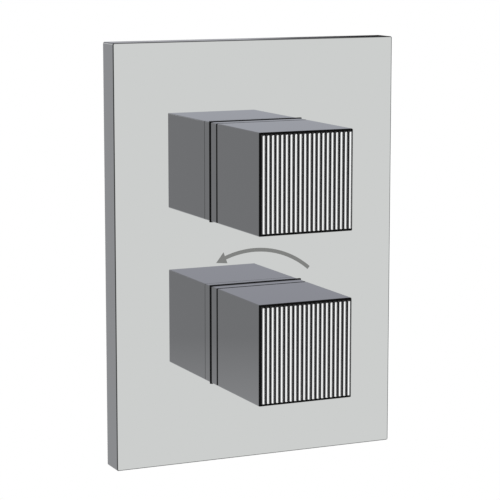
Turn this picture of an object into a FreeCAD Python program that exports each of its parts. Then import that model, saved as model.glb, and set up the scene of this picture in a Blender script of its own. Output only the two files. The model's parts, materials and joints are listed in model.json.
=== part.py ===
import FreeCAD, Part
import Sketcher
import math
import os
import re

# Concealed shower valve with two square handles: flow above, temperature below, on one wall plate.
#
# Millimetres. The origin lies midway between the two fixing holes, on the plane where the valve body bears on
# the board inside the wall. X runs to the right and Z up. The room is on the -Y side, so a piece's place in depth
# is given as a station, its distance in front of the fixing plane: station s is y = -s.

V = FreeCAD.Vector
doc = FreeCAD.newDocument("shower_valve")

# Driving sizes

SIZES = [
    ("wall_depth", 54.0, "fixing plane to the finished wall"),
    ("axis_pitch", 73.5, "between the two control axes"),
    ("plate_width", 144.4, "wall plate, across"),
    ("plate_height", 200.8, "wall plate, up"),
    ("plate_depth", 12.8, "wall plate, out from the wall"),
    ("plate_wall", 2.0, "sheet of the wall plate"),
    ("plate_corner", 0.8, "corner radius of the plate, seen from the front"),
    ("plate_edge", 0.5, "round of the plate's front edge"),
    ("plate_shift", 23.2, "plate centre, right of the control axes"),
    ("plate_drop", 8.65, "plate centre, below the middle of the control axes"),
    ("foam_width", 3.0, "foam strip behind the plate's rim"),
    ("handle_side", 44.2, "square section of sleeve and knob"),
    ("handle_edge", 0.4, "round of the handles' long edges"),
    ("sleeve_wall", 2.0, "wall of the square sleeve"),
    ("sleeve_length", 42.3, "square sleeve, out from the plate"),
    ("seam_width", 0.35, "hairline seam between sleeve and collar"),
    ("seam_inset", 0.4, "depth of that seam"),
    ("collar_length", 5.85, "collar at the sleeve's end"),
    ("collar_spigot", 8.0, "collar inside the sleeve"),
    ("collar_wall", 2.0, "wall of the collar's spigot"),
    ("collar_web", 3.0, "web that the sleeve nut clamps"),
    ("gasket_thickness", 1.1, "black gasket between collar and knob"),
    ("gasket_proud", 0.4, "gasket beyond the handle's faces"),
    ("gasket_hole", 16.8, "radius of the gasket's hole"),
    ("knob_gap", 0.3, "running gap between gasket and knob skirt"),
    ("skirt_length", 5.4, "skirt behind the knob's groove"),
    ("skirt_spigot", 4.0, "skirt inside the knob"),
    ("skirt_hole", 17.0, "radius of the skirt's hole"),
    ("groove_width", 1.5, "groove between skirt and knob"),
    ("groove_inset", 0.8, "depth of that groove"),
    ("knob_length", 43.2, "knob, from its groove to its front rim"),
    ("knob_wall", 3.5, "side wall of the knob"),
    ("knob_front_wall", 6.0, "front wall of the knob"),
    ("knob_rim", 0.6, "rim round the knob's front recess"),
    ("boss_radius", 11.0, "boss inside the knob"),
    ("face_base", 1.0, "back of the fluted face"),
    ("inlay_thickness", 0.5, "black inlay, on the rim and the fluted face"),
    ("inlay_inset", 0.1, "inlay's edge, in from the knob's faces"),
    ("rib_count", 20, "ribs on each knob"),
    ("rib_width", 1.43, "one rib, across"),
    ("rib_height", 1.2, "rib in front of the inlay"),
    ("rib_border", 0.83, "edge of the inlay to the first rib"),
    ("running_fit", 0.06, "radial clearance of what turns or slides"),
    ("seat_fit", 0.05, "clearance of what is pushed or screwed home"),
    ("push_fit", 0.1, "clearance per side of the square spigots"),
    ("turning_gap", 0.4, "axial gap between turning and fixed pieces"),
    ("body_back", 2.0, "station of the barrels' backs"),
    ("chamber_back", 6.0, "station of the chambers' floors"),
    ("bore_seat", 16.0, "station of the cartridge seats"),
    ("barrel_radius", 22.0, "barrels of the valve body"),
    ("barrel_setback", 4.0, "barrel fronts, behind the finished wall"),
    ("barrel_chamfer", 2.0, "edges of the barrels"),
    ("neck_radius", 17.0, "threaded necks"),
    ("neck_reach", 25.2, "necks, in front of the plate"),
    ("neck_chamfer", 1.0, "lead of the neck's thread"),
    ("neck_clear", 0.6, "plate hole round the neck"),
    ("bore_radius", 15.0, "cartridge bores"),
    ("chamber_radius", 9.0, "mixing and supply chambers"),
    ("annulus_radius", 18.0, "water grooves round the cartridges"),
    ("inlet_annulus", 10.0, "width of the inlets' water grooves"),
    ("outlet_annulus", 14.0, "width of the outlet's water groove"),
    ("hot_port", 23.0, "station of the hot inlet"),
    ("cold_port", 39.0, "station of the cold inlet"),
    ("outlet_port", 30.0, "station of the outlet"),
    ("inlet_offset", 13.0, "inlets, to each side of the control axes"),
    ("leg_radius", 12.0, "legs that carry the unions"),
    ("leg_bore", 9.5, "bore of the legs"),
    ("leg_floor", 24.0, "control axis to the end of a leg's bore"),
    ("inlet_duct", 4.5, "duct from an inlet leg to its water groove"),
    ("inlet_duct_end", 8.0, "control axis to the inlet duct's end"),
    ("outlet_duct", 7.0, "duct from the outlet's water groove to its leg"),
    ("outlet_duct_end", 13.0, "control axis to the outlet duct's end"),
    ("outlet_room", 1.0, "bore left over behind the outlet's union"),
    ("riser_radius", 9.5, "riser between the barrels"),
    ("riser_bore", 5.0, "bore of the riser"),
    ("lug_spacing", 42.0, "between the fixing holes"),
    ("lug_radius", 6.5, "fixing lugs"),
    ("lug_thickness", 5.0, "fixing lugs"),
    ("lug_hole", 2.75, "fixing holes"),
    ("union_flats", 27.0, "hexagon of a union, across flats"),
    ("union_height", 14.0, "hexagon of a union"),
    ("union_socket", 9.3, "pipe thread's socket, at the thread's crests"),
    ("socket_depth", 13.0, "depth of the socket"),
    ("union_bore", 6.0, "water way of a union"),
    ("union_spigot", 9.0, "union inside its leg"),
    ("washer_thickness", 1.5, "fibre washer under a union"),
    ("strainer_height", 4.0, "inlet strainer"),
    ("strainer_rim", 1.6, "rim of the strainer"),
    ("strainer_sheet", 1.0, "sheet of the strainer"),
    ("strainer_hole", 1.2, "holes of the strainer"),
    ("cage_height", 14.0, "check valve cage"),
    ("cage_wall", 1.8, "wall of the cage"),
    ("cage_end", 2.0, "seat and guide of the cage"),
    ("cage_seat", 5.0, "hole of the cage's seat"),
    ("poppet_radius", 6.4, "check valve poppet"),
    ("poppet_disc", 2.0, "head of the poppet"),
    ("poppet_stem", 1.6, "stem of the poppet"),
    ("check_stroke", 3.0, "lift of the poppet"),
    ("check_coil", 4.4, "mean radius of the check valve spring"),
    ("check_wire", 0.3, "wire radius of the check valve spring"),
    ("check_turns", 4, "turns of the check valve spring"),
    ("exit_wall", 2.5, "rear wall of the thermostat housing"),
    ("exit_hole", 7.5, "mixed water's way out of the housing"),
    ("housing_bore", 11.0, "bore of both cartridge housings"),
    ("window_width", 10.0, "housing windows, across"),
    ("hot_window", 8.0, "housing window of the hot side, along the axis"),
    ("cold_window", 6.0, "housing window of the cold side, along the axis"),
    ("outlet_window", 6.0, "housing window of the outlet, along the axis"),
    ("return_room", 10.5, "length of the return spring"),
    ("return_coil", 9.6, "mean radius of the return spring"),
    ("return_wire", 0.5, "wire radius of the return spring"),
    ("return_turns", 4, "turns of the return spring"),
    ("shuttle_length", 8.0, "thermostat shuttle"),
    ("shuttle_port", 1.2, "water holes through the shuttle"),
    ("bulb_radius", 4.0, "wax bulb of the element"),
    ("bulb_length", 8.0, "wax bulb of the element"),
    ("element_radius", 5.0, "element inside the shuttle"),
    ("element_head", 6.2, "radius of the element's head"),
    ("head_length", 4.0, "element's head"),
    ("guide_radius", 3.5, "element's guide"),
    ("guide_share", 0.28, "element's guide, as a share of the room in front of the element's head"),
    ("pin_radius", 1.5, "element's pin"),
    ("pin_share", 0.22, "element's pin when cold, as a share of that room"),
    ("cap_thickness", 2.0, "push cap"),
    ("clip_thickness", 1.1, "clip that holds the push cap"),
    ("clip_width", 2.4, "clip, across its section"),
    ("clip_depth", 0.7, "groove of the clip"),
    ("clip_tail", 1.2, "regulating nut behind the clip's groove"),
    ("cup_radius", 8.5, "cup of the regulating nut"),
    ("overload_share", 0.32, "overload spring, as a share of that room"),
    ("overload_coil", 7.4, "mean radius of the overload spring"),
    ("overload_wire", 0.7, "wire radius of the overload spring"),
    ("overload_turns", 3, "turns of the overload spring"),
    ("screw_radius", 6.0, "regulating screw"),
    ("screw_grip", 8.0, "thread inside the regulating nut"),
    ("screw_lead_in", 1.5, "screw's end, in front of the cup's floor"),
    ("key_width", 3.0, "key of the regulating nut"),
    ("key_height", 1.2, "key of the regulating nut"),
    ("thrust_radius", 8.0, "thrust flange of a spindle"),
    ("thrust_length", 4.0, "thrust flange of a spindle"),
    ("thrust_gap", 0.2, "end play of a spindle"),
    ("disc_thickness", 4.0, "ceramic discs"),
    ("disc_gap", 0.05, "water film between the discs"),
    ("disc_port", 2.7, "ports through the discs"),
    ("disc_port_offset", 5.6, "ports, off the axis"),
    ("base_seal", 2.0, "rubber seal under the fixed disc"),
    ("tongue_width", 3.9, "driver's tongue"),
    ("tongue_height", 1.9, "driver's tongue"),
    ("tongue_length", 16.0, "driver's tongue"),
    ("driver_hub", 5.0, "radius of the driver's hub"),
    ("driver_hub_length", 3.7, "driver's hub"),
    ("stem_radius", 4.94, "stems of both spindles"),
    ("spline_radius", 4.0, "spindle ends, inside the adaptors"),
    ("spline_flat", 3.0, "flat of the spindle ends"),
    ("seal_groove", 2.4, "width of an O-ring's groove"),
    ("housing_seal_depth", 1.7, "depth of a housing's O-ring groove"),
    ("stem_seal_depth", 1.3, "depth of a stem's O-ring groove"),
    ("shuttle_seal_depth", 1.5, "depth of the shuttle's O-ring groove"),
    ("front_seal", 48.0, "station of the housings' front O-ring groove"),
    ("middle_seal", 29.8, "station of the thermostat's middle O-ring groove"),
    ("rear_seal", 19.0, "station of the flow housing's rear O-ring groove"),
    ("stem_seal_setback", 14.0, "stem seal, in front of the housing"),
    ("bonnet_thread", 8.0, "bonnet inside the neck"),
    ("bonnet_flats", 32.0, "hexagon of a bonnet, across flats"),
    ("bonnet_flange", 6.0, "hexagon of a bonnet"),
    ("nose_radius", 12.0, "threaded nose of a bonnet"),
    ("nose_margin", 1.3, "nose in front of its nut"),
    ("tip_radius", 9.0, "bonnet's tip, for the stop ring"),
    ("tip_margin", 0.5, "tip in front of the stop ring"),
    ("nut_flats", 28.0, "sleeve nut, across flats"),
    ("nut_height", 4.0, "sleeve nut"),
    ("lock_radius", 19.5, "plate lock ring"),
    ("lock_height", 8.0, "plate lock ring"),
    ("lock_slot", 4.0, "spanner slots of the lock ring"),
    ("lock_slot_depth", 3.0, "spanner slots of the lock ring"),
    ("neck_seal_height", 4.5, "rubber ring round the neck, behind the plate"),
    ("neck_seal_width", 4.0, "rubber ring round the neck, across its section"),
    ("stop_base", 2.5, "ring of the turning stop"),
    ("lug_height", 3.9, "lug of the turning stop"),
    ("finger_inner", 9.4, "stop finger, inner side"),
    ("finger_outer", 11.8, "stop finger, outer side"),
    ("finger_width", 4.0, "stop finger, across"),
    ("finger_length", 3.3, "stop finger, back from the adaptor"),
    ("finger_angle", 26.0, "sector that the stop finger takes"),
    ("stop_clear", 1.0, "angle left at each end of the turn"),
    ("flow_turn", 90.0, "flow knob, off to full"),
    ("cold_turn", 180.0, "temperature knob, rest to cold"),
    ("hot_turn", 60.0, "temperature knob, rest to hot"),
    ("adaptor_radius", 8.0, "adaptor inside the knob's boss"),
    ("adaptor_length", 22.0, "adaptor inside the knob's boss"),
    ("adaptor_flange", 3.4, "adaptor's flange"),
    ("adaptor_flange_radius", 12.0, "adaptor's flange"),
    ("spindle_inset", 3.0, "spindle's end, behind the adaptor's front"),
    ("grub_radius", 2.45, "grub screw"),
    ("grub_length", 7.0, "grub screw"),
    ("grub_setback", 11.0, "grub screw, in front of the boss's back"),
    ("grub_point", 1.0, "cone point of the grub screw"),
    ("grub_socket", 2.5, "hexagon socket of the grub screw, across flats"),
    ("grub_socket_depth", 2.5, "hexagon socket of the grub screw"),
]

# Stations and sizes that follow from them, each written in terms of the ones before it

DERIVED = [
    ("plate_front", "wall_depth + plate_depth"),
    ("sleeve_front", "plate_front + sleeve_length"),
    ("collar_back", "sleeve_front + seam_width"),
    ("collar_front", "collar_back + collar_length"),
    ("gasket_front", "collar_front + gasket_thickness"),
    ("skirt_back", "gasket_front + knob_gap"),
    ("skirt_front", "skirt_back + skirt_length"),
    ("knob_back", "skirt_front + groove_width"),
    ("knob_front", "knob_back + knob_length"),
    ("recess_floor", "knob_front - face_base"),
    ("cavity_floor", "recess_floor - knob_front_wall"),
    ("sleeve_inside", "handle_side - 2 * sleeve_wall"),
    ("knob_cavity", "handle_side - 2 * knob_wall"),
    ("face_side", "handle_side - 2 * knob_rim - 2 * seat_fit"),
    ("inlay_side", "handle_side - 2 * inlay_inset"),
    ("rib_length", "inlay_side - 2 * rib_border"),
    ("rib_run", "rib_length - rib_width"),
    ("barrel_front", "wall_depth - barrel_setback"),
    ("neck_front", "plate_front + neck_reach"),
    ("housing_front", "neck_front - bonnet_thread"),
    ("housing_radius", "bore_radius - 2 * seat_fit"),
    ("flange_front", "neck_front + bonnet_flange"),
    ("nut_front", "collar_front + nut_height"),
    ("nose_front", "nut_front + nose_margin"),
    ("stop_front", "nose_front + stop_base"),
    ("tip_front", "stop_front + tip_margin"),
    ("lug_front", "stop_front + lug_height"),
    ("adaptor_back", "lug_front + turning_gap"),
    ("boss_back", "adaptor_back + adaptor_flange"),
    ("adaptor_front", "boss_back + adaptor_length"),
    ("spindle_front", "adaptor_front - spindle_inset"),
    ("stem_bore", "stem_radius + running_fit"),
    ("exit_front", "bore_seat + exit_wall"),
    ("shuttle_back", "exit_front + return_room"),
    ("shuttle_front", "shuttle_back + shuttle_length"),
    ("guide_back", "shuttle_front + head_length"),
    ("thrust_front", "housing_front - thrust_gap"),
    ("thrust_back", "thrust_front - thrust_length"),
    ("regulator_room", "thrust_back - guide_back - cap_thickness - screw_grip"),
    ("pin_back", "guide_back + guide_share * regulator_room"),
    ("cap_back", "pin_back + pin_share * regulator_room"),
    ("cap_front", "cap_back + cap_thickness"),
    ("clip_groove_back", "cap_back - clip_thickness - 2 * seat_fit"),
    ("nut_back", "clip_groove_back - clip_tail"),
    ("overload_room", "overload_share * regulator_room"),
    ("cup_floor", "cap_front + overload_room"),
    ("regulating_front", "cup_floor + screw_grip"),
    ("screw_back", "cup_floor + screw_lead_in"),
    ("fixed_disc_back", "bore_seat + base_seal"),
    ("fixed_disc_front", "fixed_disc_back + disc_thickness"),
    ("moving_disc_back", "fixed_disc_front + disc_gap"),
    ("moving_disc_front", "moving_disc_back + disc_thickness"),
    ("driver_back", "moving_disc_front + driver_hub_length"),
    ("driver_front", "driver_back + thrust_length"),
    ("driver_shoulder", "driver_front + thrust_gap"),
    ("stem_seal_back", "housing_front + stem_seal_setback"),
    ("inlet_end", "leg_floor + cage_height + strainer_height + union_spigot"),
    ("outlet_end", "leg_floor + outlet_room + union_spigot"),
    ("cage_radius", "leg_bore - 2 * seat_fit"),
]

sheet = doc.addObject("Spreadsheet::Sheet", "Sizes")
for row, (alias, number, note) in enumerate(SIZES, start=1):
    sheet.set(f"A{row}", note)
    sheet.set(f"B{row}", str(number))
    sheet.setAlias(f"B{row}", alias)

SIZE_NAMES = {alias for alias, number, note in SIZES}
DERIVED_NAMES = {alias for alias, formula in DERIVED}
WORD = re.compile(r"[A-Za-z_][A-Za-z0-9_]*")


def bound(formula):
    """The formula with each size's name led by the name of the sheet that holds it."""
    def lead(match):
        name = match.group()
        if name in SIZE_NAMES:
            return "Sizes." + name
        if name in DERIVED_NAMES:
            return "Derived." + name
        return name
    return WORD.sub(lead, formula)


derived = doc.addObject("Spreadsheet::Sheet", "Derived")
for row, (alias, formula) in enumerate(DERIVED, start=1):
    derived.set(f"A{row}", alias)
    derived.set(f"B{row}", "=" + bound(formula).replace("Derived.", ""))
    derived.setAlias(f"B{row}", alias)
doc.recompute()


def value(formula):
    """The formula's number now."""
    return float(sheet.evalExpression(bound(formula)))


# Sketches

def sketch_on(body, role, offset="0"):
    """A sketch on one of the body's own planes, moved along its normal: XY up, XZ to the front, YZ to the right."""
    plane = next(item for item in body.Origin.OriginFeatures if item.Role == role)
    sketch = body.newObject("Sketcher::SketchObject", "Sketch")
    sketch.AttachmentSupport = [(plane, "")]
    sketch.MapMode = "FlatFace"
    if offset != "0":
        sketch.setExpression("AttachmentOffset.Base.z", bound(offset))
    return sketch


def pin_point(sketch, geometry, vertex, x, y):
    """Holds one point of a sketch at two formulas."""
    for kind, formula, axis in (("DistanceX", x, -2), ("DistanceY", y, -1)):
        if formula == "0":
            sketch.addConstraint(Sketcher.Constraint("PointOnObject", geometry, vertex, axis))
        else:
            held = Sketcher.Constraint(kind, -1, 1, geometry, vertex, value(formula))
            index = sketch.addConstraint(held)
            sketch.setExpression(f"Constraints[{index}]", bound(formula))


def outline(sketch, corners):
    """A closed run of straight lines through corners given as formulas."""
    points = [V(value(x), value(y), 0) for x, y in corners]
    first = sketch.GeometryCount
    count = len(points)
    for i in range(count):
        sketch.addGeometry(Part.LineSegment(points[i], points[(i + 1) % count]))
    for i in range(count):
        following = first + (i + 1) % count
        sketch.addConstraint(Sketcher.Constraint("Coincident", first + i, 2, following, 1))
    for i, (x, y) in enumerate(corners):
        pin_point(sketch, first + i, 1, x, y)


def rectangle(sketch, left, right, low, high):
    outline(sketch, [(left, low), (right, low), (right, high), (left, high)])


def square(sketch, side):
    half = f"({side}) / 2"
    rectangle(sketch, f"-{half}", half, f"-{half}", half)


def hexagon(sketch, flats):
    half = f"{flats} / 2"
    corner = f"{flats} / sqrt(3)"
    side = f"{flats} / sqrt(12)"
    outline(sketch, [(corner, "0"), (side, half), (f"-{side}", half),
                     (f"-{corner}", "0"), (f"-{side}", f"-{half}"), (side, f"-{half}")])


def circle(sketch, radius, x="0", y="0"):
    centre = V(value(x), value(y), 0)
    index = sketch.addGeometry(Part.Circle(centre, V(0, 0, 1), value(radius)))
    pin_point(sketch, index, 3, x, y)
    held = sketch.addConstraint(Sketcher.Constraint("Radius", index, value(radius)))
    sketch.setExpression(f"Constraints[{held}]", bound(radius))


def flatted_circle(sketch, radius, flat):
    """A circle cut off by a level line above its centre."""
    big = value(radius)
    height = value(flat)
    reach = math.sqrt(big * big - height * height)
    start = math.pi - math.atan2(height, reach)
    end = 2 * math.pi + math.atan2(height, reach)
    arc = sketch.addGeometry(Part.ArcOfCircle(Part.Circle(V(0, 0, 0), V(0, 0, 1), big), start, end))
    line = sketch.addGeometry(Part.LineSegment(V(reach, height, 0), V(-reach, height, 0)))
    sketch.addConstraint(Sketcher.Constraint("Coincident", arc, 3, -1, 1))
    sketch.addConstraint(Sketcher.Constraint("Coincident", arc, 2, line, 1))
    sketch.addConstraint(Sketcher.Constraint("Coincident", line, 2, arc, 1))
    sketch.addConstraint(Sketcher.Constraint("Horizontal", line))
    held = sketch.addConstraint(Sketcher.Constraint("Radius", arc, big))
    sketch.setExpression(f"Constraints[{held}]", bound(radius))
    held = sketch.addConstraint(Sketcher.Constraint("DistanceY", -1, 1, line, 1, height))
    sketch.setExpression(f"Constraints[{held}]", bound(flat))


# Features

def pad(body, sketch, length, reverse=False):
    feature = body.newObject("PartDesign::Pad", "Pad")
    feature.Profile = sketch
    feature.Reversed = reverse
    feature.setExpression("Length", bound(length))
    return feature


def pocket(body, sketch, length, along_normal=False, both_sides=False):
    """A cut against the sketch's normal, along it, or evenly to both sides."""
    feature = body.newObject("PartDesign::Pocket", "Pocket")
    feature.Profile = sketch
    feature.Reversed = along_normal
    if both_sides:
        feature.SideType = "Symmetric"
    feature.setExpression("Length", bound(length))
    return feature


def turned(body, corners, cut=False, height="0", upright=False):
    """A turned shape or cut. Corners are (radius, station) about Y, or (radius, height) about Z if upright."""
    if upright:
        sketch = sketch_on(body, "XZ_Plane")
        outline(sketch, corners)
    else:
        sketch = sketch_on(body, "XY_Plane", height)
        outline(sketch, [(radius, f"-({station})") for radius, station in corners])
    kind = "PartDesign::Groove" if cut else "PartDesign::Revolution"
    feature = body.newObject(kind, "Turned")
    feature.Profile = sketch
    feature.ReferenceAxis = (sketch, ["V_Axis"])
    feature.Angle = 360
    return feature


def ring(inner, outer, back, front):
    """Corners of a plain ring's section."""
    return [(inner, back), (outer, back), (outer, front), (inner, front)]


def round_edges(body, feature, radius, wanted):
    """Rounds those edges of the feature that pass the test."""
    doc.recompute()
    edges = feature.Shape.Edges
    names = [f"Edge{i}" for i, edge in enumerate(edges, start=1) if wanted(edge)]
    fillet = body.newObject("PartDesign::Fillet", "Fillet")
    fillet.Base = (feature, names)
    fillet.setExpression("Radius", bound(radius))
    return fillet


def outer_depth_edge(side_x, side_z):
    """A test for the straight edges that run in depth at the corners of a rectangle."""
    half_x = value(side_x) / 2
    half_z = value(side_z) / 2

    def wanted(edge):
        middle = edge.CenterOfMass
        return abs(abs(middle.x) - half_x) < 0.01 and abs(abs(middle.z) - half_z) < 0.01
    return wanted


def linear_copies(body, feature, sketch, length, count):
    pattern = body.newObject("PartDesign::LinearPattern", "Row")
    pattern.Originals = [feature]
    pattern.Direction = (sketch, ["H_Axis"])
    pattern.setExpression("Length", bound(length))
    pattern.setExpression("Occurrences", bound(count))
    body.Tip = pattern
    return pattern


def polar_copies(body, feature, sketch, count):
    pattern = body.newObject("PartDesign::PolarPattern", "Circle")
    pattern.Originals = [feature]
    pattern.Axis = (sketch, ["N_Axis"])
    pattern.Angle = 360
    pattern.Occurrences = count
    body.Tip = pattern
    return pattern


# Nodes

NODES = []


def place(item, x="0", station="0", height="0", turn=None):
    """Puts an object at formulas, with an optional turn given as (axis, degrees)."""
    if turn:
        axis, degrees = turn
        item.Placement = FreeCAD.Placement(V(0, 0, 0), FreeCAD.Rotation(axis, degrees))
    for name, formula in (("x", x), ("y", f"-({station})"), ("z", height)):
        if formula not in ("0", "-(0)"):
            item.setExpression("Placement.Base." + name, bound(formula))


def new_body(label, x="0", station="0", height="0", turn=None):
    body = doc.addObject("PartDesign::Body", label)
    body.Label = label
    place(body, x, station, height, turn)
    return body


def node(item):
    NODES.append(item)
    return item


def group(label, members):
    """One node of separate, identical pieces."""
    compound = doc.addObject("Part::Compound", label)
    compound.Label = label
    compound.Links = members
    return node(compound)


TO_DEPTH = (V(1, 0, 0), 90)
HALF_OVER = (V(1, 0, 0), 180)


def o_ring(label, groove_floor, bore, station, height):
    """An O-ring about a depth axis, between a groove's floor and the bore round it."""
    torus = doc.addObject("Part::Torus", label)
    torus.Label = label
    torus.setExpression("Radius1", bound(f"({groove_floor} + {bore}) / 2"))
    torus.setExpression("Radius2", bound(f"({bore} - ({groove_floor})) / 2 - seat_fit / 2"))
    place(torus, "0", f"{station} + seal_groove / 2", height, TO_DEPTH)
    return torus


def tangent_arc(start, corner, end):
    """The arc that leaves start towards corner and reaches end coming from corner."""
    entering = corner - start
    leaving = end - corner
    cosine = math.cos(entering.getAngle(leaving) / 2)
    middle = (start + end) * 0.5
    return Part.Arc(start, middle + (corner - middle) * (cosine / (1 + cosine)), end).toShape()


def coil_spring(label, coil, wire, length, turns, x, station, height, turn):
    """A compression spring along its own Z, as a round wire on pairs of tangent arcs, two pairs to a half turn."""
    radius = value(coil)
    wire_radius = value(wire)
    steps = 4 * int(value(turns))
    climb = (value(length) - 2 * wire_radius - 2 * value("seat_fit")) / steps
    foot = wire_radius + value("seat_fit")
    edges = []
    for k in range(steps):
        ends = []
        for angle in (k * math.pi / 2, (k + 1) * math.pi / 2):
            point = V(radius * math.cos(angle), radius * math.sin(angle), foot + climb * angle * 2 / math.pi)
            heading = V(-radius * math.sin(angle), radius * math.cos(angle), climb * 2 / math.pi)
            ends.append((point, heading.normalize()))
        (start, leaving), (end, arriving) = ends
        span = end - start
        both = leaving + arriving
        spread = both.dot(both) - 4
        along = span.dot(both)
        reach = (along - math.sqrt(along * along - spread * span.dot(span))) / spread
        first_corner = start + leaving * reach
        last_corner = end - arriving * reach
        joint = (first_corner + last_corner) * 0.5
        edges.append(tangent_arc(start, first_corner, joint))
        edges.append(tangent_arc(joint, last_corner, end))
    heading = V(0, radius, climb * 2 / math.pi)
    section = Part.Wire(Part.Circle(V(radius, 0, foot), heading, wire_radius).toShape())
    spring = doc.addObject("Part::Feature", label)
    spring.Label = label
    spring.Shape = Part.Wire(edges).makePipeShell([section], True, False)
    place(spring, x, station, height, turn)
    return node(spring)


# Wall plate with its seals

def wall_plate():
    body = new_body("wall_plate", "plate_shift", "0", "-plate_drop")
    front = sketch_on(body, "XZ_Plane", "wall_depth")
    rectangle(front, "-plate_width / 2", "plate_width / 2", "-plate_height / 2", "plate_height / 2")
    block = pad(body, front, "plate_depth")
    corners = round_edges(body, block, "plate_corner", outer_depth_edge("plate_width", "plate_height"))
    depth = value("plate_front")
    round_edges(body, corners, "plate_edge", lambda edge: abs(edge.CenterOfMass.y + depth) < 0.01)
    hollow = sketch_on(body, "XZ_Plane", "wall_depth")
    half_width = "(plate_width / 2 - plate_wall)"
    half_height = "(plate_height / 2 - plate_wall)"
    rectangle(hollow, f"-{half_width}", half_width, f"-{half_height}", half_height)
    pocket(body, hollow, "plate_depth - plate_wall", along_normal=True)
    holes = sketch_on(body, "XZ_Plane", "wall_depth")
    for axis in ("plate_drop + axis_pitch / 2", "plate_drop - axis_pitch / 2"):
        circle(holes, "neck_radius + neck_clear", "-plate_shift", axis)
    pocket(body, holes, "plate_depth", along_normal=True)
    node(body)

    foam = new_body("plate_gasket", "plate_shift", "0", "-plate_drop")
    strip = sketch_on(foam, "XZ_Plane", "wall_depth")
    for inset in ("(plate_wall + push_fit)", "(plate_wall + push_fit + foam_width)"):
        across = f"(plate_width / 2 - {inset})"
        up = f"(plate_height / 2 - {inset})"
        rectangle(strip, f"-{across}", across, f"-{up}", up)
    pad(foam, strip, "plate_depth - plate_wall")
    node(foam)


def neck_ring(label, height):
    """Rubber ring round a neck, against the back of the plate's front wall."""
    body = new_body(label, "0", "0", height)
    back = "plate_front - plate_wall - neck_seal_height"
    inner = "neck_radius + seat_fit"
    turned(body, ring(inner, f"{inner} + neck_seal_width", back, "plate_front - plate_wall"))
    return body


def lock_ring(label, height):
    """Threaded ring on a neck that clamps the plate, with two spanner slots."""
    body = new_body(label, "0", "0", height)
    lock_front = "plate_front + lock_height"
    turned(body, ring("neck_radius + seat_fit", "lock_radius", "plate_front", lock_front))
    slots = sketch_on(body, "XZ_Plane", lock_front)
    rectangle(slots, "-(lock_radius + 1)", "lock_radius + 1", "-lock_slot / 2", "lock_slot / 2")
    pocket(body, slots, "lock_slot_depth")
    return body


# Handles: sleeve and collar stand still, skirt and knob turn

def square_tube(body, outer, inner, back, length):
    sketch = sketch_on(body, "XZ_Plane", back)
    square(sketch, outer)
    square(sketch, inner)
    return pad(body, sketch, length)


def square_block(body, side, back, length):
    sketch = sketch_on(body, "XZ_Plane", back)
    square(sketch, side)
    return pad(body, sketch, length)


def sleeve(label, height):
    body = new_body(label, "0", "0", height)
    tube = square_tube(body, "handle_side", "sleeve_inside", "plate_front", "sleeve_length")
    round_edges(body, tube, "handle_edge", outer_depth_edge("handle_side", "handle_side"))
    return node(body)


def collar(label, height):
    """Square end piece: its spigot enters the sleeve, a step leaves the seam, its web is clamped by the nut."""
    body = new_body(label, "0", "0", height)
    end = square_block(body, "handle_side", "collar_back", "collar_length")
    round_edges(body, end, "handle_edge", outer_depth_edge("handle_side", "handle_side"))
    square_block(body, "handle_side - 2 * seam_inset", "sleeve_front", "seam_width")
    spigot = "sleeve_inside - 2 * push_fit"
    square_block(body, spigot, "sleeve_front - collar_spigot", "collar_spigot")
    hollow = sketch_on(body, "XZ_Plane", "sleeve_front - collar_spigot")
    square(hollow, f"{spigot} - 2 * collar_wall")
    pocket(body, hollow, "collar_front - collar_web - sleeve_front + collar_spigot", along_normal=True)
    hole = sketch_on(body, "XZ_Plane", "collar_front")
    circle(hole, "nose_radius + push_fit")
    pocket(body, hole, "collar_web")
    return node(body)


def gasket(label, height):
    body = new_body(label, "0", "0", height)
    sketch = sketch_on(body, "XZ_Plane", "collar_front")
    square(sketch, "handle_side + 2 * gasket_proud")
    circle(sketch, "gasket_hole")
    pad(body, sketch, "gasket_thickness")
    return node(body)


def skirt(label, height):
    """Square ring behind the knob: its spigot enters the knob, a step leaves the groove."""
    body = new_body(label, "0", "0", height)
    end = square_block(body, "handle_side", "skirt_back", "skirt_length")
    round_edges(body, end, "handle_edge", outer_depth_edge("handle_side", "handle_side"))
    square_block(body, "handle_side - 2 * groove_inset", "skirt_front", "groove_width")
    square_block(body, "knob_cavity - 2 * push_fit", "knob_back", "skirt_spigot")
    hole = sketch_on(body, "XZ_Plane", "skirt_back")
    circle(hole, "skirt_hole")
    pocket(body, hole, "skirt_length + groove_width + skirt_spigot", along_normal=True)
    return node(body)


def knob(label, height):
    """Hollow square knob with a recess in front, a boss for the adaptor and a screw hole from below."""
    body = new_body(label, "0", "0", height)
    block = square_block(body, "handle_side", "knob_back", "knob_length")
    round_edges(body, block, "handle_edge", outer_depth_edge("handle_side", "handle_side"))
    hollow = sketch_on(body, "XZ_Plane", "knob_back")
    square(hollow, "knob_cavity")
    pocket(body, hollow, "cavity_floor - knob_back", along_normal=True)
    boss = sketch_on(body, "XZ_Plane", "boss_back")
    circle(boss, "boss_radius")
    pad(body, boss, "cavity_floor - boss_back")
    bore = sketch_on(body, "XZ_Plane", "boss_back")
    circle(bore, "adaptor_radius + seat_fit")
    pocket(body, bore, "adaptor_length + push_fit", along_normal=True)
    recess = sketch_on(body, "XZ_Plane", "knob_front")
    square(recess, "handle_side - 2 * knob_rim")
    pocket(body, recess, "knob_front - recess_floor")
    screw_hole = sketch_on(body, "XY_Plane")
    circle(screw_hole, "grub_radius + seat_fit", "0", "-(boss_back + grub_setback)")
    pocket(body, screw_hole, "handle_side")
    return node(body)


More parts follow.
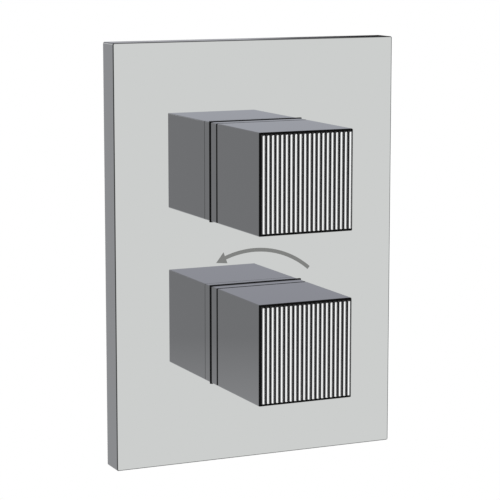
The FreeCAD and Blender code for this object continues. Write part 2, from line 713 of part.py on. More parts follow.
def fluted_face(label, height):
    """Bright plate with a row of upright ribs."""
    body = new_body(label, "0", "0", height)
    square_block(body, "face_side", "recess_floor", "face_base")
    first = sketch_on(body, "XZ_Plane", "knob_front")
    left = "-rib_length / 2"
    rectangle(first, left, f"{left} + rib_width", "-rib_length / 2", "rib_length / 2")
    rib = pad(body, first, "inlay_thickness + rib_height")
    linear_copies(body, rib, first, "rib_run", "rib_count")
    return node(body)


def inlay(label, height):
    """Black sheet over the knob's rim and the fluted face, with a slot for every rib."""
    body = new_body(label, "0", "0", height)
    block = square_block(body, "inlay_side", "knob_front", "inlay_thickness")
    round_edges(body, block, "handle_edge", outer_depth_edge("inlay_side", "inlay_side"))
    first = sketch_on(body, "XZ_Plane", "knob_front")
    left = "-rib_length / 2"
    end = "(rib_length / 2 + seat_fit)"
    rectangle(first, f"{left} - seat_fit", f"{left} + rib_width + seat_fit", f"-{end}", end)
    slot = pocket(body, first, "inlay_thickness", along_normal=True)
    linear_copies(body, slot, first, "rib_run", "rib_count")
    return node(body)


def adaptor(label, height):
    """Bush between spindle and knob, with a flatted bore and the finger that meets the stop."""
    body = new_body(label, "0", "0", height)
    turned(body, [("0", "adaptor_back"), ("adaptor_flange_radius", "adaptor_back"),
                  ("adaptor_flange_radius", "boss_back"), ("adaptor_radius", "boss_back"),
                  ("adaptor_radius", "adaptor_front"), ("0", "adaptor_front")])
    finger = sketch_on(body, "XZ_Plane", "adaptor_back - finger_length")
    rectangle(finger, "finger_inner", "finger_outer", "-finger_width / 2", "finger_width / 2")
    pad(body, finger, "finger_length")
    bore = sketch_on(body, "XZ_Plane", "adaptor_front")
    flatted_circle(bore, "spline_radius + seat_fit", "spline_flat + seat_fit")
    pocket(body, bore, "adaptor_front - adaptor_back")
    return node(body)


def grub_screw(label, height):
    """Socket screw under the knob, point up against the adaptor."""
    body = new_body(label, "0", "boss_back + grub_setback", height)
    point = "-(adaptor_radius + 2 * seat_fit)"
    foot = f"{point} - grub_length"
    turned(body, [("0", foot), ("grub_radius", foot), ("grub_radius", f"{point} - grub_point"),
                  ("grub_radius - grub_point", point), ("0", point)], upright=True)
    socket = sketch_on(body, "XY_Plane", foot)
    hexagon(socket, "grub_socket")
    pocket(body, socket, "grub_socket_depth", along_normal=True)
    return node(body)


# Cartridge heads: bonnet, nut and turning stop

def bonnet(label, height):
    """Screws into the neck over the cartridge, and carries the sleeve nut and the stop ring."""
    body = new_body(label, "0", "0", height)
    thread = "bore_radius - seat_fit"
    turned(body, [("stem_bore", "housing_front"), (thread, "housing_front"), (thread, "neck_front"),
                  ("nose_radius", "neck_front"), ("nose_radius", "nose_front"),
                  ("tip_radius", "nose_front"), ("tip_radius", "tip_front"), ("stem_bore", "tip_front")])
    flange = sketch_on(body, "XZ_Plane", "neck_front")
    hexagon(flange, "bonnet_flats")
    circle(flange, "stem_bore")
    pad(body, flange, "bonnet_flange")
    return node(body)


def sleeve_nut(label, height):
    body = new_body(label, "0", "0", height)
    sketch = sketch_on(body, "XZ_Plane", "collar_front")
    hexagon(sketch, "nut_flats")
    circle(sketch, "nose_radius + seat_fit")
    pad(body, sketch, "nut_height")
    return body


def stop_ring(label, height, highest, lowest):
    """Ring on the bonnet's tip, with a lug that fills the part of the turn that the finger never reaches."""
    body = new_body(label, "0", "0", height, (V(0, -1, 0), 1))
    body.setExpression("Placement.Rotation.Angle", bound(f"180 + ({highest} - {lowest}) / 2"))
    inner = "tip_radius + seat_fit"
    turned(body, ring(inner, "nose_radius", "nose_front", "stop_front"))
    sketch = sketch_on(body, "XY_Plane")
    section = ring(inner, "nose_radius", "nose_front", "lug_front")
    outline(sketch, [(radius, f"-({station})") for radius, station in section])
    lug = body.newObject("PartDesign::Revolution", "Lug")
    lug.Profile = sketch
    lug.ReferenceAxis = (sketch, ["V_Axis"])
    lug.Midplane = True
    sweep = f"360 - {highest} - {lowest} - finger_angle - 2 * stop_clear"
    lug.setExpression("Angle", bound(sweep))
    return node(body)


# Valve body

def barrel(body, height, grooves):
    """One barrel with its neck; returns the corners of its bore, cut once the whole casting is there."""
    edge = "barrel_radius - barrel_chamfer"
    lead = "neck_front - neck_chamfer"
    turned(body, [("0", "body_back"), (edge, "body_back"), ("barrel_radius", "body_back + barrel_chamfer"),
                  ("barrel_radius", "barrel_front - barrel_chamfer"), (edge, "barrel_front"),
                  ("neck_radius", "barrel_front"), ("neck_radius", lead),
                  ("neck_radius - neck_chamfer", "neck_front"), ("0", "neck_front")], height=height)
    bore = [("0", "chamber_back"), ("chamber_radius", "chamber_back"), ("chamber_radius", "bore_seat"),
            ("bore_radius", "bore_seat")]
    for station, width in grooves:
        back = f"{station} - {width} / 2"
        front = f"{station} + {width} / 2"
        bore += [("bore_radius", back), ("annulus_radius", back), ("annulus_radius", front),
                 ("bore_radius", front)]
    return bore + [("bore_radius", "neck_front"), ("0", "neck_front")]


def leg(body, x, station, start, end):
    """A round leg, up or down from a control axis."""
    sketch = sketch_on(body, "XY_Plane", start)
    circle(sketch, "leg_radius", x, f"-{station}")
    downward = value(end) < value(start)
    pad(body, sketch, f"{start} - ({end})" if downward else f"{end} - ({start})", reverse=downward)


def drilled(body, x, station, radius, start, end):
    """A round hole along Z from one height to another."""
    sketch = sketch_on(body, "XY_Plane", start)
    circle(sketch, radius, x, f"-{station}")
    upward = value(end) > value(start)
    pocket(body, sketch, f"{end} - ({start})" if upward else f"{start} - ({end})", along_normal=upward)


UPPER = "axis_pitch / 2"
LOWER = "-axis_pitch / 2"


def valve_body():
    body = new_body("valve_body")
    upper_bore = barrel(body, UPPER, [("outlet_port", "outlet_annulus")])
    lower_bore = barrel(body, LOWER, [("hot_port", "inlet_annulus"), ("cold_port", "inlet_annulus")])
    riser_station = "(chamber_back + bore_seat) / 2"
    riser = sketch_on(body, "XY_Plane", LOWER)
    circle(riser, "riser_radius", "0", f"-{riser_station}")
    pad(body, riser, "axis_pitch")
    strap = sketch_on(body, "XZ_Plane")
    half = "lug_spacing / 2"
    rectangle(strap, f"-{half}", half, "-lug_radius", "lug_radius")
    pad(body, strap, "lug_thickness")
    for x in (f"-{half}", half):
        lug = sketch_on(body, "XZ_Plane")
        circle(lug, "lug_radius", x)
        pad(body, lug, "lug_thickness")
    foot = f"{LOWER} - inlet_end"
    top = f"{UPPER} + outlet_end"
    leg(body, "-inlet_offset", "hot_port", LOWER, foot)
    leg(body, "inlet_offset", "cold_port", LOWER, foot)
    leg(body, "0", "outlet_port", UPPER, top)
    turned(body, upper_bore, cut=True, height=UPPER)
    turned(body, lower_bore, cut=True, height=LOWER)
    drilled(body, "0", riser_station, "riser_bore", LOWER, UPPER)
    for x, station in (("-inlet_offset", "hot_port"), ("inlet_offset", "cold_port")):
        drilled(body, x, station, "leg_bore", foot, f"{LOWER} - leg_floor")
        drilled(body, x, station, "inlet_duct", foot, f"{LOWER} - inlet_duct_end")
    drilled(body, "0", "outlet_port", "leg_bore", top, f"{UPPER} + leg_floor")
    drilled(body, "0", "outlet_port", "outlet_duct", top, f"{UPPER} + outlet_duct_end")
    holes = sketch_on(body, "XZ_Plane")
    for x in (f"-{half}", half):
        circle(holes, "lug_hole", x)
    pocket(body, holes, "lug_thickness", along_normal=True)
    node(body)


# Unions, strainers and check valves, each modelled upright with the leg's end face at height 0, leg below

HOT = ("-inlet_offset", "hot_port", f"{LOWER} - inlet_end", HALF_OVER)
COLD = ("inlet_offset", "cold_port", f"{LOWER} - inlet_end", HALF_OVER)
OUTLET = ("0", "outlet_port", f"{UPPER} + outlet_end", None)


def union(label, port):
    body = new_body(label, *port)
    turned(body, ring("union_bore", "leg_bore - seat_fit", "-union_spigot", "washer_thickness"), upright=True)
    flange = sketch_on(body, "XY_Plane", "washer_thickness")
    hexagon(flange, "union_flats")
    circle(flange, "union_bore")
    pad(body, flange, "union_height")
    socket = sketch_on(body, "XY_Plane", "washer_thickness + union_height")
    circle(socket, "union_socket")
    pocket(body, socket, "socket_depth")
    return node(body)


def union_washer(label, port):
    body = new_body(label, *port)
    turned(body, ring("leg_bore + push_fit", "leg_radius", "0", "washer_thickness"), upright=True)
    return body


def strainer(label, port):
    """Perforated disc with a rim, between the union's spigot and the check valve."""
    body = new_body(label, *port)
    top = "-union_spigot"
    rim = "cage_radius - strainer_rim"
    turned(body, [("0", f"{top} - strainer_sheet"), (rim, f"{top} - strainer_sheet"),
                  (rim, f"{top} - strainer_height"), ("cage_radius", f"{top} - strainer_height"),
                  ("cage_radius", top), ("0", top)], upright=True)
    for share, count in ((0.35, 6), (0.72, 12)):
        sketch = sketch_on(body, "XY_Plane", top)
        circle(sketch, "strainer_hole", f"(cage_radius - strainer_rim) * {share}")
        hole = pocket(body, sketch, "strainer_sheet")
        polar_copies(body, hole, sketch, count)
    return body


CAGE_TOP = "-(union_spigot + strainer_height)"
CAGE_FOOT = "-(union_spigot + strainer_height + cage_height)"


def cage(label, port):
    """Check valve cage: a seat at the inlet side, a pierced guide for the stem at the other."""
    body = new_body(label, *port)
    wall = "cage_radius - cage_wall"
    guide = "poppet_stem + running_fit"
    turned(body, [(guide, CAGE_FOOT), ("cage_radius", CAGE_FOOT), ("cage_radius", CAGE_TOP),
                  ("cage_seat", CAGE_TOP), ("cage_seat", f"{CAGE_TOP} - cage_end"),
                  (wall, f"{CAGE_TOP} - cage_end"), (wall, f"{CAGE_FOOT} + cage_end"),
                  (guide, f"{CAGE_FOOT} + cage_end")], upright=True)
    sketch = sketch_on(body, "XY_Plane", CAGE_FOOT)
    middle = "(cage_radius - cage_wall + poppet_stem) / 2"
    circle(sketch, "cage_end * 0.9", middle)
    hole = pocket(body, sketch, "cage_end", along_normal=True)
    polar_copies(body, hole, sketch, 6)
    return body


def poppet(label, port):
    body = new_body(label, *port)
    face = f"{CAGE_TOP} - cage_end"
    turned(body, [("0", CAGE_FOOT), ("poppet_stem", CAGE_FOOT), ("poppet_stem", f"{face} - poppet_disc"),
                  ("poppet_radius", f"{face} - poppet_disc"), ("poppet_radius", face), ("0", face)],
           upright=True)
    return node(body)


def check_spring(label, port):
    x, station, height, turn = port
    below = "union_spigot + strainer_height + cage_end + poppet_disc"
    room = "cage_height - 2 * cage_end - poppet_disc"
    coil_spring(label, "check_coil", "check_wire", room, "check_turns", x, station,
                f"{height} + {below}", None)


# Thermostat, from the mixed water's exit to the spindle

def seal_groove(body, radius, depth, station):
    """The groove of an O-ring round a depth axis."""
    turned(body, ring(f"{radius} - {depth}", radius, station, f"{station} + seal_groove"), cut=True)


def windows(body, station, length):
    """Four windows through a housing's wall."""
    back = f"-({station} - {length} / 2)"
    front = f"-({station} + {length} / 2)"
    side = sketch_on(body, "XY_Plane")
    rectangle(side, "-window_width / 2", "window_width / 2", front, back)
    pocket(body, side, "2 * bore_radius", both_sides=True)
    across = sketch_on(body, "YZ_Plane")
    rectangle(across, front, back, "-window_width / 2", "window_width / 2")
    pocket(body, across, "2 * bore_radius", both_sides=True)


def thermostat_housing():
    body = new_body("thermostat_housing", "0", "0", LOWER)
    turned(body, [("exit_hole", "bore_seat"), ("housing_radius", "bore_seat"),
                  ("housing_radius", "housing_front"), ("housing_bore", "housing_front"),
                  ("housing_bore", "exit_front"), ("exit_hole", "exit_front")])
    seal_groove(body, "housing_radius", "housing_seal_depth", "middle_seal")
    seal_groove(body, "housing_radius", "housing_seal_depth", "front_seal")
    windows(body, "hot_port + inlet_annulus / 2 - hot_window / 2", "hot_window")
    windows(body, "cold_port + inlet_annulus / 2 - cold_window / 2", "cold_window")
    keyway = sketch_on(body, "XZ_Plane", "housing_front")
    half = "(key_width / 2 + push_fit)"
    rectangle(keyway, f"-{half}", half, "0", "housing_bore + key_height + 2 * push_fit")
    pocket(body, keyway, "housing_front - front_seal - 2 * seal_groove")
    node(body)


def shuttle():
    body = new_body("thermostat_shuttle", "0", "0", LOWER)
    outside = "housing_bore - running_fit"
    turned(body, ring("element_radius + seat_fit", outside, "shuttle_back", "shuttle_front"))
    middle = "(shuttle_back + shuttle_front - seal_groove) / 2"
    seal_groove(body, outside, "shuttle_seal_depth", middle)
    sketch = sketch_on(body, "XZ_Plane", "shuttle_front")
    circle(sketch, "shuttle_port", "(element_head + housing_bore - shuttle_seal_depth) / 2")
    hole = pocket(body, sketch, "shuttle_length")
    polar_copies(body, hole, sketch, 8)
    node(body)
    node(o_ring("shuttle_seal", f"{outside} - shuttle_seal_depth", "housing_bore", middle, LOWER))


def element():
    """Wax capsule screwed through the shuttle, its pin towards the regulating nut."""
    body = new_body("thermostat_element", "0", "0", LOWER)
    bulb_back = "shuttle_back - bulb_length"
    turned(body, [("0", bulb_back), ("bulb_radius", bulb_back), ("bulb_radius", "shuttle_back"),
                  ("element_radius", "shuttle_back"), ("element_radius", "shuttle_front"),
                  ("element_head", "shuttle_front"), ("element_head", "guide_back"),
                  ("guide_radius", "guide_back"), ("guide_radius", "pin_back"),
                  ("pin_radius", "pin_back"), ("pin_radius", "cap_back"), ("0", "cap_back")])
    node(body)


def regulating_nut():
    """Keyed nut that the spindle's screw drives along the axis, with a cup for the overload spring."""
    body = new_body("regulating_nut", "0", "0", LOWER)
    thread = "screw_radius + running_fit"
    outside = "housing_bore - running_fit"
    groove = "cup_radius + clip_depth"
    turned(body, [("cup_radius", "nut_back"), (outside, "nut_back"), (outside, "regulating_front"),
                  (thread, "regulating_front"), (thread, "cup_floor"), ("cup_radius", "cup_floor"),
                  ("cup_radius", "cap_back"), (groove, "cap_back"), (groove, "clip_groove_back"),
                  ("cup_radius", "clip_groove_back")])
    key = sketch_on(body, "XZ_Plane", "cup_floor")
    rectangle(key, "-key_width / 2", "key_width / 2", "housing_bore - key_height", "housing_bore + key_height")
    pad(body, key, "screw_grip")
    node(body)

    cap = new_body("push_cap", "0", "0", LOWER)
    turned(cap, [("0", "cap_back"), ("cup_radius - push_fit", "cap_back"),
                 ("cup_radius - push_fit", "cap_front"), ("0", "cap_front")])
    node(cap)

    clip = new_body("cap_clip", "0", "0", LOWER)
    outer = "cup_radius + clip_depth - seat_fit"
    back = "clip_groove_back + seat_fit"
    turned(clip, ring(f"{outer} - clip_width", outer, back, f"{back} + clip_thickness"))
    mouth = sketch_on(clip, "XZ_Plane", f"{back} + clip_thickness")
    rectangle(mouth, "-clip_width / 2", "clip_width / 2", "0", "housing_bore")
    pocket(clip, mouth, "clip_thickness")
    node(clip)


def spindle_end(body):
    """The flat of a spindle's end and the groove of its stem seal."""
    flat = sketch_on(body, "XZ_Plane", "spindle_front")
    rectangle(flat, "-stem_radius", "stem_radius", "spline_flat", "stem_radius")
    pocket(body, flat, "spindle_front - tip_front")
    seal_groove(body, "stem_radius", "stem_seal_depth", "stem_seal_back")


def temperature_spindle():
    body = new_body("temperature_spindle", "0", "0", LOWER)
    turned(body, [("0", "screw_back"), ("screw_radius", "screw_back"), ("screw_radius", "thrust_back"),
                  ("thrust_radius", "thrust_back"), ("thrust_radius", "thrust_front"),
                  ("stem_radius", "thrust_front"), ("stem_radius", "tip_front"),
                  ("spline_radius", "tip_front"), ("spline_radius", "spindle_front"), ("0", "spindle_front")])
    spindle_end(body)
    node(body)


# Flow cartridge, from its base seal to the spindle

def ported_disc(label, radius, back, front, upright_ports):
    """A disc with two ports, side by side or one above the other."""
    body = new_body(label, "0", "0", UPPER)
    turned(body, [("0", back), (radius, back), (radius, front), ("0", front)])
    ports = sketch_on(body, "XZ_Plane", front)
    for offset in ("disc_port_offset", "-disc_port_offset"):
        if upright_ports:
            circle(ports, "disc_port", "0", offset)
        else:
            circle(ports, "disc_port", offset, "0")
    pocket(body, ports, f"{front} - ({back})")
    return node(body)


def flow_cartridge():
    housing = new_body("flow_housing", "0", "0", UPPER)
    stem_way = "stem_bore + running_fit"
    turned(housing, [("housing_bore", "bore_seat"), ("housing_radius", "bore_seat"),
                     ("housing_radius", "housing_front"), (stem_way, "housing_front"),
                     (stem_way, "driver_shoulder"), ("housing_bore", "driver_shoulder")])
    seal_groove(housing, "housing_radius", "housing_seal_depth", "rear_seal")
    seal_groove(housing, "housing_radius", "housing_seal_depth", "front_seal")
    windows(housing, "outlet_port", "outlet_window")
    node(housing)

    fixed = "housing_bore - push_fit"
    ported_disc("flow_base_seal", fixed, "bore_seat", "fixed_disc_back", False)
    ported_disc("flow_fixed_disc", fixed, "fixed_disc_back", "fixed_disc_front", False)
    turning = "housing_bore - turning_gap"
    disc = ported_disc("flow_moving_disc", turning, "moving_disc_back", "moving_disc_front", True)
    slot = sketch_on(disc, "XZ_Plane", "moving_disc_front")
    half = "(tongue_width / 2 + seat_fit)"
    rectangle(slot, "-housing_bore", "housing_bore", f"-{half}", half)
    pocket(disc, slot, "tongue_height + seat_fit")

    spindle = new_body("flow_spindle", "0", "0", UPPER)
    turned(spindle, [("0", "moving_disc_front"), ("driver_hub", "moving_disc_front"),
                     ("driver_hub", "driver_back"), ("thrust_radius", "driver_back"),
                     ("thrust_radius", "driver_front"), ("stem_radius", "driver_front"),
                     ("stem_radius", "tip_front"), ("spline_radius", "tip_front"),
                     ("spline_radius", "spindle_front"), ("0", "spindle_front")])
    tongue = sketch_on(spindle, "XZ_Plane", "moving_disc_front - tongue_height")
    rectangle(tongue, "-tongue_length / 2", "tongue_length / 2", "-tongue_width / 2", "tongue_width / 2")
    pad(spindle, tongue, "tongue_height + driver_hub_length")
    spindle_end(spindle)
    node(spindle)


# The whole valve

def handle(prefix, height):
    """What both controls have alike, from the wall to the ribs."""
    sleeve(prefix + "_sleeve", height)
    collar(prefix + "_collar", height)
    gasket(prefix + "_gasket", height)
    skirt(prefix + "_skirt", height)
    knob(prefix + "_knob", height)
    fluted_face(prefix + "_fluted_face", height)
    inlay(prefix + "_inlay", height)
    adaptor(prefix + "_adaptor", height)
    grub_screw(prefix + "_grub_screw", height)
    bonnet(prefix + "_bonnet", height)


def build():
    wall_plate()
    handle("upper", UPPER)
    handle("lower", LOWER)
    stop_ring("flow_stop_ring", UPPER, "flow_turn", "0")
    stop_ring("temperature_stop_ring", LOWER, "hot_turn", "cold_turn")
    both = (("upper", UPPER), ("lower", LOWER))
    group("sleeve_nuts", [sleeve_nut(f"{name}_sleeve_nut", height) for name, height in both])
    group("plate_lock_rings", [lock_ring(f"{name}_lock_ring", height) for name, height in both])
    group("neck_seals", [neck_ring(f"{name}_neck_seal", height) for name, height in both])

    valve_body()
    union("hot_inlet_union", HOT)
    union("cold_inlet_union", COLD)
    union("outlet_union", OUTLET)
    ports = (("hot", HOT), ("cold", COLD), ("outlet", OUTLET))
    inlets = ports[:2]
    group("union_washers", [union_washer(f"{name}_washer", port) for name, port in ports])
    group("inlet_strainers", [strainer(f"{name}_strainer", port) for name, port in inlets])
    group("check_valve_cages", [cage(f"{name}_cage", port) for name, port in inlets])
    for name, port in inlets:
        poppet(f"{name}_check_poppet", port)
        check_spring(f"{name}_check_spring", port)

    thermostat_housing()
    shuttle()
    element()
    regulating_nut()
    temperature_spindle()
    coil_spring("return_spring", "return_coil", "return_wire", "return_room", "return_turns",
                "0", "exit_front", LOWER, TO_DEPTH)
    coil_spring("overload_spring", "overload_coil", "overload_wire", "overload_room", "overload_turns",
                "0", "cap_front", LOWER, TO_DEPTH)
    flow_cartridge()

    floor = "housing_radius - housing_seal_depth"
    group("housing_seals", [o_ring("seal_one", floor, "bore_radius", "middle_seal", LOWER),
                            o_ring("seal_two", floor, "bore_radius", "front_seal", LOWER),
                            o_ring("seal_three", floor, "bore_radius", "rear_seal", UPPER),
                            o_ring("seal_four", floor, "bore_radius", "front_seal", UPPER)])
    stem_floor = "stem_radius - stem_seal_depth"
    node(o_ring("flow_stem_seal", stem_floor, "stem_bore", "stem_seal_back", UPPER))
    node(o_ring("temperature_stem_seal", stem_floor, "stem_bore", "stem_seal_back", LOWER))


def check():
    """Stops if anything failed to build, or a cut removed nothing."""
    for item in doc.Objects:
        if "Invalid" in item.State or "Error" in item.State:
            raise RuntimeError(f"{item.Label} failed: {item.State}")
        if item.TypeId in ("PartDesign::Pocket", "PartDesign::Groove"):
            removed = item.BaseFeature.Shape.Volume - item.Shape.Volume
            if removed < 0.01:
                raise RuntimeError(f"{item.Label} in {item.getParentGeoFeatureGroup().Label} cuts nothing")
    for item in NODES:
        if item.Shape.isNull() or not item.Shape.isValid():
            raise RuntimeError(f"{item.Label} has no valid shape")


build()
doc.recompute()
check()
os.makedirs("parts", exist_ok=True)
for item in NODES:
    item.Shape.exportStep(f"parts/{item.Label}.step")
    print(item.Label, len(item.Shape.Solids), "solids", round(item.Shape.Volume, 1), "mm3")
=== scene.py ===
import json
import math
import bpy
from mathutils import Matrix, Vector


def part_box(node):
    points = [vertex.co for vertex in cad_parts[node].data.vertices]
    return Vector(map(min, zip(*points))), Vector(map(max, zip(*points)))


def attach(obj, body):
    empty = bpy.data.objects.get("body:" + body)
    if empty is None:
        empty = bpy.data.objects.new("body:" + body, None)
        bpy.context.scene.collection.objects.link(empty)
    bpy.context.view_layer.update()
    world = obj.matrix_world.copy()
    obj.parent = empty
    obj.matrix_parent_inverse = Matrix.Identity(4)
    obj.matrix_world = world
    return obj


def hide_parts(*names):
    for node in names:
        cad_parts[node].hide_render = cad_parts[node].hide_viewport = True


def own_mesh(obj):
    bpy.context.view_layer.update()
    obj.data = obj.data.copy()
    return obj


bl_info = {
    "name": "Shower Valve Looks",
    "version": (1, 0, 0),
    "blender": (4, 5, 0),
    "location": "View3D > Sidebar > Shower Valve",
    "description": "Finishes, casting, threads, ribs, springs, arrow and studio of a concealed shower valve",
    "category": "Object",
}

import bmesh
import bpy
from bpy.props import FloatProperty, FloatVectorProperty, IntProperty, PointerProperty
from mathutils import Matrix, Vector

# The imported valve. Metres: X to the right, Z up, the room on the -Y side

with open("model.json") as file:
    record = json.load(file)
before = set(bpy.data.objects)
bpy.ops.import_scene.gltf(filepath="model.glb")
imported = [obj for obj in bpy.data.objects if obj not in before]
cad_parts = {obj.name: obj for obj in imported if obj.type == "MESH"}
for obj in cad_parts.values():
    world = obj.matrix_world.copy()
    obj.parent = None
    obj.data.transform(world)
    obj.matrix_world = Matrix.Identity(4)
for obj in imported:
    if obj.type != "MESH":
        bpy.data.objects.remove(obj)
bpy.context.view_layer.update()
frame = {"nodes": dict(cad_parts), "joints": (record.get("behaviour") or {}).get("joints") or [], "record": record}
NODES = frame["nodes"]
MM = 0.001

# How the names of a handle's nodes begin, and the body that turns
HANDLES = {"upper": "flow_knob", "lower": "temperature_knob"}
HANDLE_SHELLS = ("sleeve", "collar", "skirt", "knob")
# The check valves' springs, and the joints that they give with
CHECK_SPRINGS = {"hot_check_spring": "hot_check_lift", "cold_check_spring": "cold_check_lift"}
TURNED_BRASS = ("upper_bonnet", "lower_bonnet", "plate_lock_rings", "temperature_spindle", "flow_spindle",
                "regulating_nut", "thermostat_element", "push_cap")
# The unions, and whether the mouth is at the top
UNIONS = {"hot_inlet_union": False, "cold_inlet_union": False, "outlet_union": True}

# What counts as one point, as lying on a surface, as one plane, as upright, and as a sharp or a hollow edge
SAME_POINT = 0.001 * MM
ON_SURFACE = 0.05 * MM
ONE_PLANE = math.radians(0.1)
UPRIGHT = 0.1
SHARP_EDGE = math.radians(30.0)
HOLLOW_EDGE = math.radians(-25.0)

# Degrees up to which faces are shaded as one
SMOOTH = 35.0
RIBS_SMOOTH = 20.0
CASTING_SMOOTH = 16.0
UNION_SMOOTH = 12.0

# How finely the pieces are divided
RIB_POINTS = 9
FOAM_STEPS = 3
EDGE_STEPS = 2
FILLET_STEPS = 6
THREAD_ROWS = 72
WIRE_SIDES = 12
TURN_STEPS = 40
ARROW_STEPS = 40
CARD_STEPS = 24
FLOOR_SIDES = 96

# The pipe thread: share of a pitch that is flat at crest and root, and pitches over which it runs out
THREAD_FLAT = 1.0 / 6.0
THREAD_RUNOUT = 2.0

# Grey cards round the studio: degrees right of straight behind, degrees up, tints at the foot and the top
# A last number is the share of the tint that is left at the right of a card that fades
CARD_DISTANCE = 20.0
CARDS = (
    ("side_card", (-21.6, -4.0), (-30.0, 4.0), (0.375, 0.375, 0.39), (0.405, 0.405, 0.425)),
    ("left_foot", (-62.0, -21.6), (-35.0, -16.6), (0.50, 0.50, 0.52), (0.50, 0.50, 0.52)),
    ("left_fade", (-62.0, -21.6), (-16.6, -11.6), (0.50, 0.50, 0.52), (0.244, 0.244, 0.256)),
    ("left_card", (-62.0, -21.6), (-11.6, 13.0), (0.244, 0.244, 0.256), (0.244, 0.244, 0.256)),
    ("top_card", (12.0, 40.0), (4.2, 13.0), (0.40, 0.413, 0.455), (0.31, 0.31, 0.355)),
    ("strip_card", (12.0, 24.6), (1.0, 4.2), (0.41, 0.41, 0.44), (0.41, 0.41, 0.44)),
    ("strip_fade", (24.6, 26.0), (1.0, 4.2), (0.41, 0.41, 0.44), (0.41, 0.41, 0.44), 0.35),
    ("strip_tail", (26.0, 28.4), (1.0, 4.2), (0.144, 0.144, 0.154), (0.144, 0.144, 0.154), 0.02),
    ("strip_flag", (28.4, 40.0), (1.0, 4.2), (0.003, 0.003, 0.003), (0.003, 0.003, 0.003)),
    ("right_side", (-4.0, 40.0), (-35.0, 1.0), (0.44, 0.44, 0.46), (0.24, 0.24, 0.25)),
    ("back_card", (-62.0, 40.0), (13.0, 35.0), (0.30, 0.30, 0.33), (0.22, 0.22, 0.23)),
    ("right_foot", (118.0, 145.0), (-35.0, -17.0), (0.95, 0.95, 0.95), (0.16, 0.16, 0.16)),
    ("right_card", (118.0, 145.0), (-17.0, 35.0), (0.16, 0.16, 0.16), (0.16, 0.16, 0.16)),
    ("under_card", (-95.0, 95.0), (-90.0, -35.0), (0.30, 0.30, 0.31), (0.40, 0.40, 0.42)),
    ("overhead_card", (-180.0, 180.0), (35.0, 90.0), (0.22, 0.22, 0.23), (0.45, 0.45, 0.46)),
)

# Flags at both sides, each of three cards one above the other
FLAG_SIDES = {"left_flag": (-130.0, -62.0), "right_flag": (40.0, 118.0)}
FLAG_ROWS = {
    "_foot": ((-35.0, -17.0), (0.46, 0.46, 0.48), (0.54, 0.54, 0.56)),
    "_fade": ((-17.0, -3.0), (0.54, 0.54, 0.56), (0.18, 0.18, 0.19)),
    "_top": ((-3.0, 35.0), (0.18, 0.18, 0.19), (0.20, 0.20, 0.21)),
}


def nodes_in(slot):
    """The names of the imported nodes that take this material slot."""
    return [row["node"] for row in frame["record"]["subparts"] if row["material_slot"] == slot]


def middle(node):
    low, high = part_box(node)
    return (low + high) / 2


# Sizes and colours that a user would change

def length(name, description, default):
    return FloatProperty(name=name, description=description, default=default, min=0.0,
                         subtype="DISTANCE", unit="LENGTH", precision=5)


def share(name, description, default):
    return FloatProperty(name=name, description=description, default=default, min=0.0, max=1.0,
                         subtype="FACTOR")


def number(name, description, default, least=1):
    return IntProperty(name=name, description=description, default=default, min=least)


def angle(name, description, degrees):
    return FloatProperty(name=name, description=description, default=math.radians(degrees), subtype="ANGLE")


def colour(name, description, default):
    return FloatVectorProperty(name=name, description=description, default=default, size=3, min=0.0, max=1.0,
                               subtype="COLOR")


def place(name, description, default):
    return FloatVectorProperty(name=name, description=description, default=default, size=3,
                               subtype="TRANSLATION", unit="LENGTH", precision=5)


class ChromeSettings(bpy.types.PropertyGroup):
    tint: colour("Tint", "Colour of the plated faces", (0.604, 0.617, 0.610))
    gloss: share("Roughness", "Roughness of the polished faces", 0.04)
    back_gloss: share("Back Roughness", "Roughness of the plate's unpolished back", 0.45)
    # Edge: the darker round of the plate's front edge is a painted reflection
    edge: share("Edge", "Share of the tint that is left on the round of the plate's front edge", 0.15)
    # Groove, Contact and Dark: painted shade in the handles' grooves and seams, and a painted reflection of the
    # gaskets on the skirts' tops
    groove: length("Groove", "Depth below the faces at which the knobs' grooves turn dark", 0.4 * MM)
    contact: length("Contact", "Reach of the gaskets' dark image on the skirts' tops", 1.6 * MM)
    dark: share("Dark", "Share of the tint that is left in the grooves and the gaskets' image", 0.02)


class RibSettings(bpy.types.PropertyGroup):
    count: number("Ribs", "Ribs on each knob", 20, least=2)
    width: length("Width", "One rib, across", 1.43 * MM)
    border: length("Border", "Edge of the black front to the first rib", 0.83 * MM)
    ends: length("Ends", "Ends of the ribs to the edge of the black front", 1.13 * MM)
    edge: length("Edge", "Round of the ribs' edges", 0.14 * MM)
    crown: length("Crown", "Rise of a rib's middle over its edges", 0.13 * MM)
    bright: length("Bright", "Depth from the crest that is bright; the flutes below are black", 0.065 * MM)
    tint: colour("Tint", "Colour of the bright ribs", (0.90, 0.91, 0.91))
    gloss: share("Roughness", "Roughness of the bright ribs", 0.10)


class BlackSettings(bpy.types.PropertyGroup):
    tint: colour("Tint", "Colour of the black front and gaskets", (0.003, 0.003, 0.0032))
    rubber: colour("Rubber", "Colour of the seals", (0.018, 0.018, 0.019))
    foam: colour("Foam", "Colour of the foam strip", (0.055, 0.056, 0.060))
    foam_width: length("Foam Width", "Foam strip behind the plate's rim", 3.0 * MM)
    foam_edge: length("Foam Edge", "Round of the foam strip's edges", 0.7 * MM)


class ArrowSettings(bpy.types.PropertyGroup):
    centre: place("Centre", "Centre of the arrow's arc, on the plate", (22.3 * MM, 0.0, -52.1 * MM))
    radius: length("Radius", "Radius of the arrow's arc", 43.9 * MM)
    band: length("Band", "Width of the arrow's line", 1.82 * MM)
    tail: angle("Tail", "Where the arc starts, from the right-hand side", 49.5)
    tip: angle("Tip", "Where the arrow's head ends", 117.5)
    head: length("Head", "Length of the arrow's head", 5.3 * MM)
    head_width: length("Head Width", "Width of the arrow's head", 5.8 * MM)
    ink: length("Ink", "Thickness of the print", 0.04 * MM)
    tint: colour("Tint", "Colour of the print", (0.228, 0.232, 0.226))


